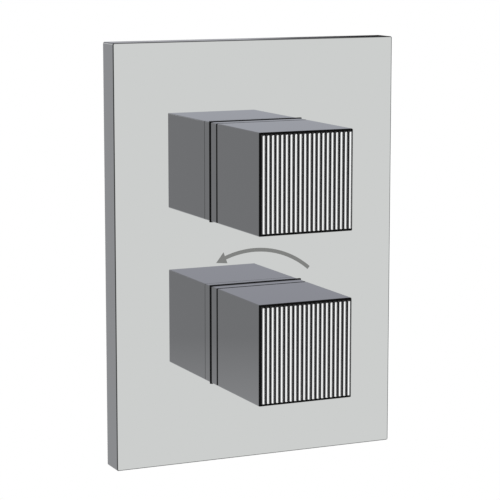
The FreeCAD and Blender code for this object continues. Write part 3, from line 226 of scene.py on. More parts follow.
class SpringSettings(bpy.types.PropertyGroup):
    check_wire: length("Check Wire", "Wire radius of the check valve springs", 0.3 * MM)
    check_turns: number("Check Turns", "Turns of the check valve springs", 4)
    return_wire: length("Return Wire", "Wire radius of the return spring", 0.5 * MM)
    return_turns: number("Return Turns", "Turns of the return spring", 4)
    overload_wire: length("Overload Wire", "Wire radius of the overload spring", 0.7 * MM)
    overload_turns: number("Overload Turns", "Turns of the overload spring", 3)
    tint: colour("Tint", "Colour of the spring steel", (0.56, 0.57, 0.58))


class BrassSettings(bpy.types.PropertyGroup):
    cast: colour("Cast", "Colour of the cast body", (0.60, 0.43, 0.21))
    turned: colour("Turned", "Colour of the turned pieces", (0.75, 0.55, 0.26))
    # The nuts' blackened colour also stands in as painted shade in the gaps by the gaskets, where the nuts show
    blackened_gap_shade: colour("Blackened", "Colour of the nuts behind the gaskets", (0.03, 0.028, 0.025))
    thread_pitch: length("Thread Pitch", "Pitch of the pipe thread in the unions", 1.814 * MM)
    thread_radius: length("Thread Radius", "Radius of the unions' sockets, at the thread's crests", 9.3 * MM)
    thread_depth: length("Thread Depth", "Depth of the thread's groove", 1.0 * MM)
    mouth: length("Mouth", "Chamfer at the unions' mouths", 1.1 * MM)
    edge: length("Edge", "Round of the unions' edges", 0.35 * MM)
    barrel_back: length("Barrel Back", "Barrels' backs, in front of the wall", 1.99 * MM)
    lug_reach: length("Lug Reach", "Half the fixing lugs' height, which the flush cut leaves", 6.6 * MM)
    riser: length("Riser", "Radius of the riser between the barrels", 9.5 * MM)
    barrel: length("Barrel", "Radius of the barrels", 22.0 * MM)
    barrel_front: length("Barrel Front", "Barrels' fronts, in front of the wall", 50.0 * MM)
    barrel_edge: length("Barrel Edge", "Barrels' edges, which the fillets stay off", 5.0 * MM)
    barrel_side: length("Barrel Side", "How far the fillets reach past the barrels' sides", 0.5 * MM)
    fillet: length("Fillet", "Reach of the fillets where the legs meet the barrels", 1.2 * MM)


class InnerSettings(bpy.types.PropertyGroup):
    plastic: colour("Plastic", "Colour of the moulded inner pieces", (0.76, 0.76, 0.72))
    ceramic: colour("Ceramic", "Colour of the ceramic discs", (0.86, 0.85, 0.81))
    fibre: colour("Fibre", "Colour of the fibre washers", (0.30, 0.055, 0.04))


class StudioSettings(bpy.types.PropertyGroup):
    eye: place("Camera", "Where the camera stands", (-0.3804, -0.9394, 0.14395))
    turn: angle("Turn", "Camera's turn to the left of straight on", 24.63)
    dip: angle("Dip", "Camera's look down from level", 9.0)
    lens: FloatProperty(name="Lens", description="Focal length on the usual 36 mm wide sensor", default=146.8,
                        subtype="DISTANCE_CAMERA")
    floor_drop: length("Floor", "Floor, below the origin", 0.5)
    floor_radius: length("Floor Radius", "Radius of the round floor", 1.2)
    floor_tint: colour("Floor Tint", "Colour of the floor", (0.92, 0.92, 0.92))
    backdrop: colour("Backdrop", "Colour of the surroundings", (1.0, 1.0, 1.0))
    lamp_power: FloatProperty(name="Lamp", description="Power of the soft lamp", default=3.0, unit="POWER")
    lamp_size: length("Lamp Size", "Width of the soft lamp", 0.8)
    lamp_place: place("Lamp Place", "Where the soft lamp hangs", (0.5, -0.9, 1.1))


class ValveLooks(bpy.types.PropertyGroup):
    chrome: PointerProperty(type=ChromeSettings)
    ribs: PointerProperty(type=RibSettings)
    black: PointerProperty(type=BlackSettings)
    arrow: PointerProperty(type=ArrowSettings)
    springs: PointerProperty(type=SpringSettings)
    brass: PointerProperty(type=BrassSettings)
    inner: PointerProperty(type=InnerSettings)
    studio: PointerProperty(type=StudioSettings)


def looks():
    return bpy.context.scene.valve_looks


# Node trees, written as sums of sockets

class Tap:
    """An output socket that takes part in sums: each operator adds a Math node to its tree."""

    def __init__(self, recipe, socket):
        self.recipe = recipe
        self.socket = socket

    def math(self, operation, first, second=0.0):
        return self.recipe.add("ShaderNodeMath", {"operation": operation}, {0: first, 1: second})

    def __add__(self, other):
        return self.math("ADD", self, other)

    def __radd__(self, other):
        return self.math("ADD", other, self)

    def __sub__(self, other):
        return self.math("SUBTRACT", self, other)

    def __rsub__(self, other):
        return self.math("SUBTRACT", other, self)

    def __mul__(self, other):
        return self.math("MULTIPLY", self, other)

    def __rmul__(self, other):
        return self.math("MULTIPLY", other, self)

    def __truediv__(self, other):
        return self.math("DIVIDE", self, other)

    def __abs__(self):
        return self.math("ABSOLUTE", self)

    def larger(self, other):
        return self.math("MAXIMUM", self, other)

    def swing(self, spread):
        """A share from 0 to 1 as a swing of this width round zero."""
        return spread * (self - 0.5)

    def step(self, low, high):
        """0 below low, 1 above high, smooth between."""
        return self.recipe.add("ShaderNodeMapRange", {"interpolation_type": "SMOOTHSTEP"},
                               {"Value": self, "From Min": low, "From Max": high})

    def part(self, axis):
        """One part of a vector."""
        return self.recipe.add("ShaderNodeSeparateXYZ", inputs={"Vector": self}, output=axis)


class Recipe:
    """A node tree under construction."""

    def __init__(self, tree):
        self.tree = tree

    def add(self, kind, settings=None, inputs=None, output=0):
        """Adds a node: its settings, then its sockets by name or number. A list goes into one socket."""
        node = self.tree.nodes.new(kind)
        for name, value in (settings or {}).items():
            setattr(node, name, value)
        for name, value in (inputs or {}).items():
            for item in value if isinstance(value, list) else [value]:
                if isinstance(item, Tap):
                    self.tree.links.new(item.socket, node.inputs[name])
                else:
                    node.inputs[name].default_value = item
        return Tap(self, node.outputs[output]) if len(node.outputs) else None

    def where(self, centre=(0.0, 0.0, 0.0), scale=(1.0, 1.0, 1.0)):
        """The place on the object, in its own metres, from a centre and stretched."""
        spot = self.add("ShaderNodeTexCoord", output="Object")
        moved = tuple(-c * s for c, s in zip(centre, scale))
        return self.add("ShaderNodeMapping", inputs={"Vector": spot, "Location": moved, "Scale": scale})

    def facing(self, axis):
        """How far the surface faces along one axis, from -1 to 1."""
        return self.add("ShaderNodeTexCoord", output="Normal").part(axis)

    def noise(self, scale, detail=3.0, vector=None):
        return self.add("ShaderNodeTexNoise", {"noise_dimensions": "3D"},
                        {"Vector": vector or self.where(), "Scale": scale, "Detail": detail}, "Fac")

    def wave(self, axis, scale, distortion):
        """Bands across an axis."""
        return self.add("ShaderNodeTexWave", {"bands_direction": axis},
                        {"Vector": self.where(), "Scale": scale, "Distortion": distortion})

    def blend(self, factor, first, second):
        """A colour between two colours."""
        return self.add("ShaderNodeMix", {"data_type": "RGBA"}, {0: factor, 6: first, 7: second}, 2)

    def mottle(self, factor, tint, low, high):
        """A tint times low where the factor is 0, and times high where it is 1."""
        return self.blend(factor, rgba(tint, low), rgba(tint, high))

    def bump(self, height, strength, distance):
        return self.add("ShaderNodeBump", inputs={
            "Height": height, "Strength": strength, "Distance": distance})


def rgba(tint, gain=1.0):
    return (*[min(1.0, part * gain) for part in tint], 1.0)


def finish(name, **inputs):
    """A new material with one Principled shader, and the recipe to feed it."""
    material = bpy.data.materials.new(name)
    material.use_nodes = True
    tree = material.node_tree
    shader = next(node for node in tree.nodes if node.type == "BSDF_PRINCIPLED")
    for socket, value in inputs.items():
        shader.inputs[socket.replace("_", " ")].default_value = value
    return material, Recipe(tree), shader


def feed(recipe, shader, **taps):
    for socket, tap in taps.items():
        recipe.tree.links.new(tap.socket, shader.inputs[socket.replace("_", " ")])


# Finishes

def polished_chrome(name="polished_chrome"):
    """Mirror chrome with a trace of wiping."""
    settings = looks().chrome
    material, recipe, shader = finish(name, Metallic=1.0)
    cloud = recipe.noise(scale=60.0)
    wipe = recipe.noise(scale=420.0, vector=recipe.where(scale=(1.0, 1.0, 0.12)))
    tint = recipe.mottle(cloud, settings.tint, low=0.997, high=1.003)
    rough = settings.gloss + cloud.swing(0.012) + wipe.swing(0.008)
    feed(recipe, shader, Base_Color=tint, Roughness=rough)
    return material, recipe, shader, tint, rough


def plate_chrome():
    """Polished chrome in front, unpolished behind, with a painted dark reflection on the round of the front edge.
    """
    settings = looks().chrome
    material, recipe, shader, tint, rough = polished_chrome("plate_chrome")
    back = recipe.facing(1)
    front = 0.0 - back
    # Painted dark reflection: the round of the front edge takes a darker tint
    edge = front.step(low=0.05, high=0.2) * (1.0 - front.step(low=0.97, high=0.995))
    feed(recipe, shader,
         Base_Color=recipe.blend(edge, tint, rgba(settings.tint, settings.edge)),
         Roughness=rough + (settings.back_gloss - settings.gloss) * back.step(low=0.3, high=0.7))
    return material


def handle_chrome(prefix):
    """Polished chrome, with painted shade in a handle's groove and seams, and a painted reflection of its gasket
    on top in front of it, which reads as a painted contact shadow.
    """
    settings = looks().chrome
    material, recipe, shader, tint, rough = polished_chrome(prefix + "_handle_chrome")
    low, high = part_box(prefix + "_skirt")
    spot = recipe.where(tuple((low + high) / 2))
    # Painted shade: the floor of the skirt's groove and every face towards the room, which sit in the seams, turn
    # dark
    depth = (high.x - low.x) / 2 - abs(spot.part(0)).larger(abs(spot.part(2)))
    wall = (0.0 - recipe.facing(1)).step(low=0.5, high=0.8)
    groove = wall.larger(depth.step(low=settings.groove, high=1.5 * settings.groove))
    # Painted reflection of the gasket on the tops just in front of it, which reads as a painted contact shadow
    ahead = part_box(prefix + "_gasket")[0].y - recipe.where().part(1)
    past_image = ahead.step(low=0.7 * settings.contact, high=1.3 * settings.contact)
    image = (1.0 - past_image) * ahead.step(low=-ON_SURFACE, high=0.0)
    # dark holds the painted shade and the painted reflection together
    dark = groove.larger(image * recipe.facing(2).step(low=0.5, high=0.8))
    feed(recipe, shader,
         Base_Color=recipe.blend(dark, tint, rgba(settings.tint, settings.dark)),
         Roughness=rough + 0.5 * groove)
    return material


def bright_ribs():
    """Bright crests, black flutes between them."""
    settings = looks().ribs
    material, recipe, shader = finish("bright_ribs")
    drawn = recipe.noise(scale=900.0, vector=recipe.where(scale=(1.0, 1.0, 0.05)))
    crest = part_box("upper_fluted_face")[0].y
    flute = (recipe.where().part(1) - (crest + settings.bright)).step(low=0.0, high=0.04 * MM)
    bright = recipe.mottle(drawn, settings.tint, low=0.97, high=1.03)
    feed(recipe, shader,
         Base_Color=recipe.blend(flute, bright, rgba(looks().black.tint)),
         Metallic=1.0 - flute,
         Roughness=settings.gloss + drawn.swing(0.05) + 0.4 * flute)
    return material


def black_front():
    settings = looks().black
    material, recipe, shader = finish("black_front", Specular_IOR_Level=0.05)
    grain = recipe.noise(scale=2600.0, detail=2.0)
    feed(recipe, shader,
         Base_Color=recipe.mottle(grain, settings.tint, low=0.8, high=1.2),
         Roughness=0.5 + grain.swing(0.1),
         Normal=recipe.bump(grain, strength=0.15, distance=0.02 * MM))
    return material


def rubber():
    settings = looks().black
    material, recipe, shader = finish("rubber", Specular_IOR_Level=0.25)
    bloom = recipe.noise(scale=300.0)
    feed(recipe, shader,
         Base_Color=recipe.mottle(bloom, settings.rubber, low=0.8, high=1.4),
         Roughness=0.62 + bloom.swing(0.15))
    return material


def foam():
    settings = looks().black
    material, recipe, shader = finish("foam", Specular_IOR_Level=0.2)
    cells = recipe.add("ShaderNodeTexVoronoi", {"feature": "DISTANCE_TO_EDGE"},
                       {"Vector": recipe.where(), "Scale": 1100.0}, "Distance")
    pits = cells.step(low=0.02, high=0.25)
    feed(recipe, shader,
         # Cell pits darker than their rims: painted shade, besides the bump
         Base_Color=recipe.mottle(pits, settings.foam, low=1.3, high=0.7),
         Roughness=0.95 - 0.1 * pits,
         Normal=recipe.bump(1.0 - pits, strength=0.6, distance=0.2 * MM))
    return material


def cast_brass():
    """Sand-cast skin, machined on the necks in front of the wall."""
    settings = looks().brass
    material, recipe, shader = finish("cast_brass", Metallic=1.0)
    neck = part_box("plate_gasket")[1].y
    machined = (neck - recipe.where().part(1)).step(low=-0.5 * MM, high=0.5 * MM)
    skin = recipe.noise(scale=700.0, detail=4.0)
    stain = recipe.noise(scale=55.0)
    turning = recipe.wave("Y", scale=900.0, distortion=0.3)
    cast_tint = recipe.mottle(stain, settings.cast, low=0.8, high=1.15)
    relief = skin * (1.0 - machined) + 0.06 * turning * machined
    feed(recipe, shader,
         Base_Color=recipe.blend(machined, cast_tint, rgba(settings.turned)),
         Roughness=(0.52 + skin.swing(0.12)) * (1.0 - machined) + 0.26 * machined,
         Normal=recipe.bump(relief, strength=0.8, distance=0.3 * MM))
    return material


def turned_brass(axis):
    """Brass with fine tool marks across the axis that it was turned on."""
    settings = looks().brass
    material, recipe, shader = finish("turned_brass_" + axis.lower(), Metallic=1.0)
    tool_marks = recipe.wave(axis, scale=1200.0, distortion=0.2)
    haze = recipe.noise(scale=130.0)
    feed(recipe, shader,
         Base_Color=recipe.mottle(haze, settings.turned, low=0.92, high=1.05),
         Roughness=0.24 + haze.swing(0.1),
         Normal=recipe.bump(tool_marks, strength=0.12, distance=0.03 * MM))
    return material


# Blackened finish of the sleeve nuts, dark enough to serve as painted shade in the gaps by the gaskets through
# which they show
def blackened_brass_gap_shade():
    tint = looks().brass.blackened_gap_shade
    material, recipe, shader = finish("blackened_brass_gap_shade", Metallic=1.0)
    bloom = recipe.noise(scale=200.0)
    feed(recipe, shader,
         Base_Color=recipe.mottle(bloom, tint, low=0.8, high=1.3),
         Roughness=0.45 + bloom.swing(0.15))
    return material


def spring_steel():
    tint = looks().springs.tint
    material, recipe, shader = finish("spring_steel", Metallic=1.0)
    drawn = recipe.noise(scale=500.0)
    feed(recipe, shader,
         Base_Color=recipe.mottle(drawn, tint, low=0.9, high=1.08),
         Roughness=0.28 + drawn.swing(0.12))
    return material


def moulded(name, tint, rough, grain_scale):
    """A fine grain, for moulded and pressed pieces."""
    material, recipe, shader = finish(name, Specular_IOR_Level=0.4)
    grain = recipe.noise(scale=grain_scale)
    feed(recipe, shader,
         Base_Color=recipe.mottle(grain, tint, low=0.93, high=1.05),
         Roughness=rough + grain.swing(0.1),
         Normal=recipe.bump(grain, strength=0.1, distance=0.05 * MM))
    return material


def etched_mark():
    """The arrow's dull grey."""
    tint = looks().arrow.tint
    material, recipe, shader = finish("etched_mark", Metallic=1.0)
    screen = recipe.noise(scale=3000.0)
    feed(recipe, shader,
         Base_Color=recipe.mottle(screen, tint, low=0.97, high=1.03),
         Roughness=0.22 + screen.swing(0.08))
    return material


def dress(nodes, material):
    """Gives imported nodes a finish. Mirror faces show the studio alone, so nodes stay out of mirror rays."""
    for name in nodes:
        NODES[name].visible_glossy = False
        slots = NODES[name].material_slots
        if not slots:
            raise RuntimeError(f"{name} has no material slot")
        for slot in slots:
            slot.link = "OBJECT"
            slot.material = material


# Pieces

def linked(name, data):
    """A new object in the scene."""
    made = bpy.data.objects.new(name, data)
    bpy.context.scene.collection.objects.link(made)
    return made


def piece(name, mesh, body, slot, *replaced):
    """A finished piece in the valve's own place, riding on a body."""
    made = linked(name, mesh)
    made.visible_glossy = False
    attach(made, body)
    if replaced:
        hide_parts(*replaced)
    return made


def plain_mesh(carrier):
    """The mesh of an object with its modifiers applied; the object is removed."""
    graph = bpy.context.evaluated_depsgraph_get()
    mesh = bpy.data.meshes.new_from_object(carrier.evaluated_get(graph))
    bpy.data.objects.remove(carrier)
    return mesh


def shape_mesh(name, shape):
    """The mesh of a bmesh shape; the shape is freed."""
    mesh = bpy.data.meshes.new(name)
    shape.to_mesh(mesh)
    shape.free()
    return mesh


def coated(mesh, material):
    """The mesh with this material alone."""
    mesh.materials.clear()
    mesh.materials.append(material)
    return mesh


def smoothed(mesh, limit=SMOOTH):
    """The mesh shaded smooth up to an angle in degrees, without the normals that it brought along."""
    if mesh.has_custom_normals:
        mesh.attributes.remove(mesh.attributes["custom_normal"])
    mesh.shade_smooth()
    mesh.set_sharp_from_angle(angle=math.radians(limit))
    return mesh


def edged(mesh, width, segments=EDGE_STEPS, smooth=SMOOTH):
    """The mesh with its sharp edges rounded, shaded smooth up to an angle in degrees."""
    carrier = linked(mesh.name, mesh)
    bevel = carrier.modifiers.new("Edges", "BEVEL")
    bevel.width = width
    bevel.segments = segments
    bevel.limit_method = "ANGLE"
    return smoothed(plain_mesh(carrier), smooth)


def geometry_tree(name, sockets):
    """A Geometry Nodes tree with these inputs: its recipe, and its inputs by name."""
    tree = bpy.data.node_groups.new(name, "GeometryNodeTree")
    for label, kind in sockets.items():
        tree.interface.new_socket(name=label, in_out="INPUT", socket_type="NodeSocket" + kind)
    tree.interface.new_socket(name="Geometry", in_out="OUTPUT", socket_type="NodeSocketGeometry")
    recipe = Recipe(tree)
    source = tree.nodes.new("NodeGroupInput")
    return recipe, {label: Tap(recipe, source.outputs[label]) for label in sockets}


def close_tree(recipe, geometry, material):
    """Ends a tree in Realize Instances and Set Material."""
    solid = recipe.add("GeometryNodeRealizeInstances", inputs={"Geometry": geometry})
    finished = recipe.add("GeometryNodeSetMaterial", inputs={"Geometry": solid, "Material": material})
    recipe.add("NodeGroupOutput", inputs={"Geometry": finished})
    return recipe.tree


def grown_mesh(name, tree, values):
    """The plain mesh that a Geometry Nodes tree gives for these inputs."""
    carrier = linked(name, bpy.data.meshes.new(name))
    modifier = carrier.modifiers.new("Grow", "NODES")
    modifier.node_group = tree
    for item in tree.interface.items_tree:
        if item.in_out == "INPUT":
            modifier[item.identifier] = values[item.name]
    grown = plain_mesh(carrier)
    if not grown.polygons:
        raise RuntimeError(f"{name} came out empty")
    return grown


def rib_tree():
    """A base plate with a row of bars on it."""
    recipe, given = geometry_tree("Ribs", {
        "Count": "Int", "Bar": "Vector", "Crown": "Float", "First": "Vector", "Last": "Vector",
        "Base": "Vector", "Base Centre": "Vector", "Material": "Material"})
    block = recipe.add("GeometryNodeMeshCube", inputs={"Size": given["Bar"], "Vertices X": RIB_POINTS})
    spot = recipe.add("GeometryNodeInputPosition")
    off_middle = spot.part(0) / given["Bar"].part(0) * 2.0
    front = spot.math("LESS_THAN", spot.part(1), 0.0)
    fall = recipe.add("ShaderNodeCombineXYZ", inputs={"Y": given["Crown"] * off_middle * off_middle * front})
    bar = recipe.add("GeometryNodeSetPosition", inputs={"Geometry": block, "Offset": fall})
    row = recipe.add("GeometryNodeMeshLine", {"mode": "END_POINTS"},
                     {"Count": given["Count"], "Start Location": given["First"], "Offset": given["Last"]})
    bars = recipe.add("GeometryNodeInstanceOnPoints", inputs={"Points": row, "Instance": bar})
    plate = recipe.add("GeometryNodeMeshCube", inputs={"Size": given["Base"]})
    base = recipe.add("GeometryNodeTransform", inputs={
        "Geometry": plate, "Translation": given["Base Centre"]})
    joined = recipe.add("GeometryNodeJoinGeometry", inputs={"Geometry": [bars, base]})
    return close_tree(recipe, joined, given["Material"])


def coil_tree():
    """A right-handed coil of wire round Z from height 0, its end turns drawn together."""
    recipe, given = geometry_tree("Coil", {
        "Coil Radius": "Float", "Wire Radius": "Float", "Turns": "Float", "Height": "Float",
        "Material": "Material"})
    spiral = recipe.add("GeometryNodeCurveSpiral", inputs={
        "Resolution": TURN_STEPS, "Rotations": given["Turns"], "Start Radius": given["Coil Radius"],
        "End Radius": given["Coil Radius"], "Height": given["Height"], "Reverse": True})
    along = recipe.add("GeometryNodeSplineParameter", output="Factor")
    spot = recipe.add("GeometryNodeInputPosition")
    lifted = recipe.add("ShaderNodeCombineXYZ", inputs={
        "X": spot.part(0), "Y": spot.part(1), "Z": along.step(low=0.0, high=1.0) * given["Height"]})
    wound = recipe.add("GeometryNodeSetPosition", inputs={"Geometry": spiral, "Position": lifted})
    upright = recipe.add("GeometryNodeSetCurveNormal", {"mode": "Z_UP"}, {"Curve": wound})
    section = recipe.add("GeometryNodeCurvePrimitiveCircle", inputs={
        "Resolution": WIRE_SIDES, "Radius": given["Wire Radius"]})
    wire = recipe.add("GeometryNodeCurveToMesh", inputs={
        "Curve": upright, "Profile Curve": section, "Fill Caps": True})
    return close_tree(recipe, wire, given["Material"])


def merged_shape(mesh):
    """A copy of a mesh as one closed shape."""
    shape = bmesh.new()
    shape.from_mesh(mesh)
    bmesh.ops.remove_doubles(shape, verts=shape.verts[:], dist=SAME_POINT)
    shape.normal_update()
    return shape


def flush_casting():
    """A copy of the casting, with the riser's back cut flush with the backs of the barrels."""
    settings = looks().brass
    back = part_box("valve_body")[1].y - settings.barrel_back
    cutter = bmesh.new()
    for prefix in HANDLES:
        axis = middle(prefix + "_bonnet")
        past = axis.z + math.copysign(settings.riser / 2, axis.z)
        near = math.copysign(settings.lug_reach, axis.z)
        centre = Matrix.Translation((axis.x, back + settings.riser, (past + near) / 2))
        size = Matrix.Diagonal((2 * settings.riser, 2 * settings.riser, abs(past - near), 1.0))
        bmesh.ops.create_cube(cutter, size=1.0, matrix=centre @ size)
    tool = linked("flush_cut", shape_mesh("flush_cut", cutter))
    carrier = linked("valve_casting", shape_mesh("valve_casting", merged_shape(NODES["valve_body"].data)))
    cut = carrier.modifiers.new("Flush", "BOOLEAN")
    cut.operation = "DIFFERENCE"
    cut.solver = "EXACT"
    cut.object = tool
    mesh = plain_mesh(carrier)
    bpy.data.objects.remove(tool)
    return smoothed(filleted(mesh), CASTING_SMOOTH)


def filleted(mesh):
    """The casting with fillets where its legs meet the barrels, on the sides away from the riser."""
    settings = looks().brass
    axes = [middle(prefix + "_bonnet") for prefix in HANDLES]
    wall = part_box("valve_body")[1].y
    near = wall - settings.barrel_back - settings.barrel_edge
    far = wall - settings.barrel_front + settings.barrel_edge
    shape = merged_shape(mesh)
    bmesh.ops.dissolve_limit(shape, angle_limit=ONE_PLANE, verts=shape.verts[:], edges=shape.edges[:])

    def on_barrel(vert):
        axis = min(axes, key=lambda nearest: abs(nearest.z - vert.co.z))
        outward = math.copysign(1.0, axis.z) * (vert.co.z - axis.z) > -settings.barrel_side
        reach = math.hypot(vert.co.x - axis.x, vert.co.z - axis.z)
        return far < vert.co.y < near and outward and abs(reach - settings.barrel) < ON_SURFACE

    joints = [edge for edge in shape.edges if edge.is_manifold and all(map(on_barrel, edge.verts))
              and edge.calc_face_angle_signed() < HOLLOW_EDGE]
    bmesh.ops.bevel(shape, geom=joints, offset=settings.fillet, segments=FILLET_STEPS, profile=0.5,
                    affect="EDGES", clamp_overlap=False)
    return shape_mesh(mesh.name, shape)


def threaded_mesh(node, mouth_up):
    """A copy of a union with its mouth chamfered and the pipe thread cut into the wall of its socket."""
    settings = looks().brass
    centre = middle(node)
    shape = merged_shape(NODES[node].data)

    def on_wall(vert):
        reach = math.hypot(vert.co.x - centre.x, vert.co.y - centre.y)
        return abs(reach - settings.thread_radius) < ON_SURFACE

    def turn_of(vert):
        return math.atan2(vert.co.y - centre.y, vert.co.x - centre.x)

    def at(radius, turn, z):
        return (centre.x + radius * math.cos(turn), centre.y + radius * math.sin(turn), z)

    wall = [face for face in shape.faces if abs(face.normal.z) < UPRIGHT and all(map(on_wall, face.verts))]
    bmesh.ops.delete(shape, geom=wall, context="FACES")
    bmesh.ops.dissolve_limit(shape, angle_limit=ONE_PLANE, verts=shape.verts[:], edges=shape.edges[:])
    sharp = [edge for edge in shape.edges if edge.is_manifold and edge.calc_face_angle() > SHARP_EDGE]
    bmesh.ops.bevel(shape, geom=sharp, offset=settings.edge, segments=EDGE_STEPS, profile=0.5,
                    affect="EDGES", clamp_overlap=True)
    rims = {}
    for vert in shape.verts:
        if vert.is_boundary:
            rims.setdefault(round(vert.co.z / MM, 2), []).append(vert)
    if [len(rim) for rim in rims.values()] != 2 * [len(wall) // 2]:
        raise RuntimeError(f"{node} has no plain socket")
    mouth, end = (sorted(rims[z], key=turn_of) for z in sorted(rims, reverse=mouth_up))
    start, deep = mouth[0].co.z, end[0].co.z - mouth[0].co.z

    def cut(z, turn):
        """How far the wall is cut back there: the thread, which runs out at the end, or the chamfer."""
        inside = abs(z - start)
        phase = (z / settings.thread_pitch - turn / (2.0 * math.pi)) % 1.0
        flank = (0.5 - THREAD_FLAT / 2 - abs(phase - 0.5)) / (0.5 - THREAD_FLAT)
        groove = min(1.0, max(0.0, flank))
        runout = min(1.0, (abs(deep) - inside) / (THREAD_RUNOUT * settings.thread_pitch))
        return max(settings.thread_depth * groove * runout, settings.mouth - inside)

    lines = [mouth]
    turns = [turn_of(vert) for vert in end]
    for k in range(1, THREAD_ROWS):
        z = start + deep * k / THREAD_ROWS
        lines.append([shape.verts.new(at(settings.thread_radius + cut(z, turn), turn, z)) for turn in turns])
    lines.append(end)
    for vert in mouth:
        vert.co = at(settings.thread_radius + settings.mouth, turn_of(vert), start)
    for first, second in zip(lines, lines[1:]):
        for j in range(len(first)):
            shape.faces.new((first[j - 1], first[j], second[j], second[j - 1]))
    bmesh.ops.recalc_face_normals(shape, faces=shape.faces[:])
    return smoothed(shape_mesh(node, shape), UNION_SMOOTH)


def arrow_outline(settings):
    """Corners of the arrow, round its line and head, as places on the plate."""
    centre = settings.centre

    def at(radius, turn):
        return Vector((centre[0] + radius * math.cos(turn), centre[2] + radius * math.sin(turn)))

    neck = settings.tip - settings.head / settings.radius
    turns = [settings.tail + (neck - settings.tail) * i / ARROW_STEPS for i in range(ARROW_STEPS + 1)]
    outside = [at(settings.radius + settings.band / 2, turn) for turn in turns]
    inside = [at(settings.radius - settings.band / 2, turn) for turn in reversed(turns)]
    head = [at(settings.radius + settings.head_width / 2, neck), at(settings.radius, settings.tip),
            at(settings.radius - settings.head_width / 2, neck)]
    return outside + head + inside


def sheet_mesh(name, corners, back, front):
    """A flat sheet of that outline between two depths, its outline counter-clockwise from the room."""
    shape = bmesh.new()
    face = shape.faces.new([shape.verts.new((x, front, z)) for x, z in corners])
    grown = bmesh.ops.extrude_face_region(shape, geom=[face], use_keep_orig=True)
    moved = [item for item in grown["geom"] if isinstance(item, bmesh.types.BMVert)]
    bmesh.ops.translate(shape, verts=moved, vec=(0.0, back - front, 0.0))
    bmesh.ops.triangulate(shape, faces=shape.faces[:])
    bmesh.ops.recalc_face_normals(shape, faces=shape.faces[:])
    return shape_mesh(name, shape)


def frame_strip(name, low, high, width):
    """A rectangular strip round the inside of a box."""
    shape = bmesh.new()
    loops = []
    for inset, depth in ((0.0, low.y), (0.0, high.y), (width, high.y), (width, low.y)):
        left, right = low.x + inset, high.x - inset
        foot, top = low.z + inset, high.z - inset
        loops.append([shape.verts.new((x, depth, z))
                      for x, z in ((left, foot), (right, foot), (right, top), (left, top))])
    for first, second in zip(loops, loops[1:] + loops[:1]):
        for i in range(4):
            j = (i + 1) % 4
            shape.faces.new((first[i], first[j], second[j], second[i]))
    bmesh.ops.recalc_face_normals(shape, faces=shape.faces[:])
    return shape_mesh(name, shape)


# Operators, one for each piece or group of like pieces

class ChromeShells(bpy.types.Operator):
    """Plate, sleeves, collars, skirts and knobs in chrome"""
    bl_idname = "valve.chrome_shells"
    bl_label = "Chrome Shells"

    def execute(self, context):
        dress(nodes_in("chrome"), polished_chrome()[0])
        dress(["wall_plate"], plate_chrome())
        for prefix in HANDLES:
            dress([prefix + "_" + shell for shell in HANDLE_SHELLS], handle_chrome(prefix))
        return {"FINISHED"}


class FlutedFaces(bpy.types.Operator):
    """The bright ribs on both knobs"""
    bl_idname = "valve.fluted_faces"
    bl_label = "Fluted Faces"

    def execute(self, context):
        settings = looks().ribs
        tree = rib_tree()
        material = bright_ribs()
        for prefix, body in HANDLES.items():
            node = prefix + "_fluted_face"
            low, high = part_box(node)
            front_low, front_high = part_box(prefix + "_inlay")
            centre = (low + high) / 2
            rib_length = front_high.z - front_low.z - 2 * settings.ends
            root = front_high.y
            first = front_low.x + settings.border + settings.width / 2
            depth = (low.y + root) / 2
            mesh = grown_mesh(node, tree, {
                "Count": settings.count,
                "Bar": (settings.width, root - low.y, rib_length),
                "Crown": settings.crown,
                "First": (first, depth, centre.z),
                "Last": (2 * centre.x - first, depth, centre.z),
                "Base": (high.x - low.x, high.y - root, high.z - low.z),
                "Base Centre": (centre.x, (root + high.y) / 2, centre.z),
                "Material": material})
            mesh = edged(mesh, settings.edge, smooth=RIBS_SMOOTH)
            piece(prefix + "_ribs", mesh, body, "bright_ribs", node)
        return {"FINISHED"}


class BlackFronts(bpy.types.Operator):
    """Black fronts of the knobs, gaskets, seals and the foam strip behind the plate"""
    bl_idname = "valve.black_fronts"
    bl_label = "Black Fronts And Seals"

    def execute(self, context):
        settings = looks().black
        dress(nodes_in("black_front"), black_front())
        dress(nodes_in("rubber"), rubber())
        low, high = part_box("plate_gasket")
        strip = frame_strip("foam_strip", low, high, settings.foam_width)
        strip = coated(edged(strip, settings.foam_edge, FOAM_STEPS), foam())
        piece("foam_strip", strip, "valve", "foam", "plate_gasket")
        return {"FINISHED"}


class PlateArrow(bpy.types.Operator):
    """The arrow printed on the plate by the temperature knob"""
    bl_idname = "valve.plate_arrow"
    bl_label = "Plate Arrow"

    def execute(self, context):
        settings = looks().arrow
        plate_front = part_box("wall_plate")[0].y
        mesh = sheet_mesh("arrow_print", arrow_outline(settings), plate_front, plate_front - settings.ink)
        piece("arrow_print", coated(mesh, etched_mark()), "valve", "black_front")
        return {"FINISHED"}


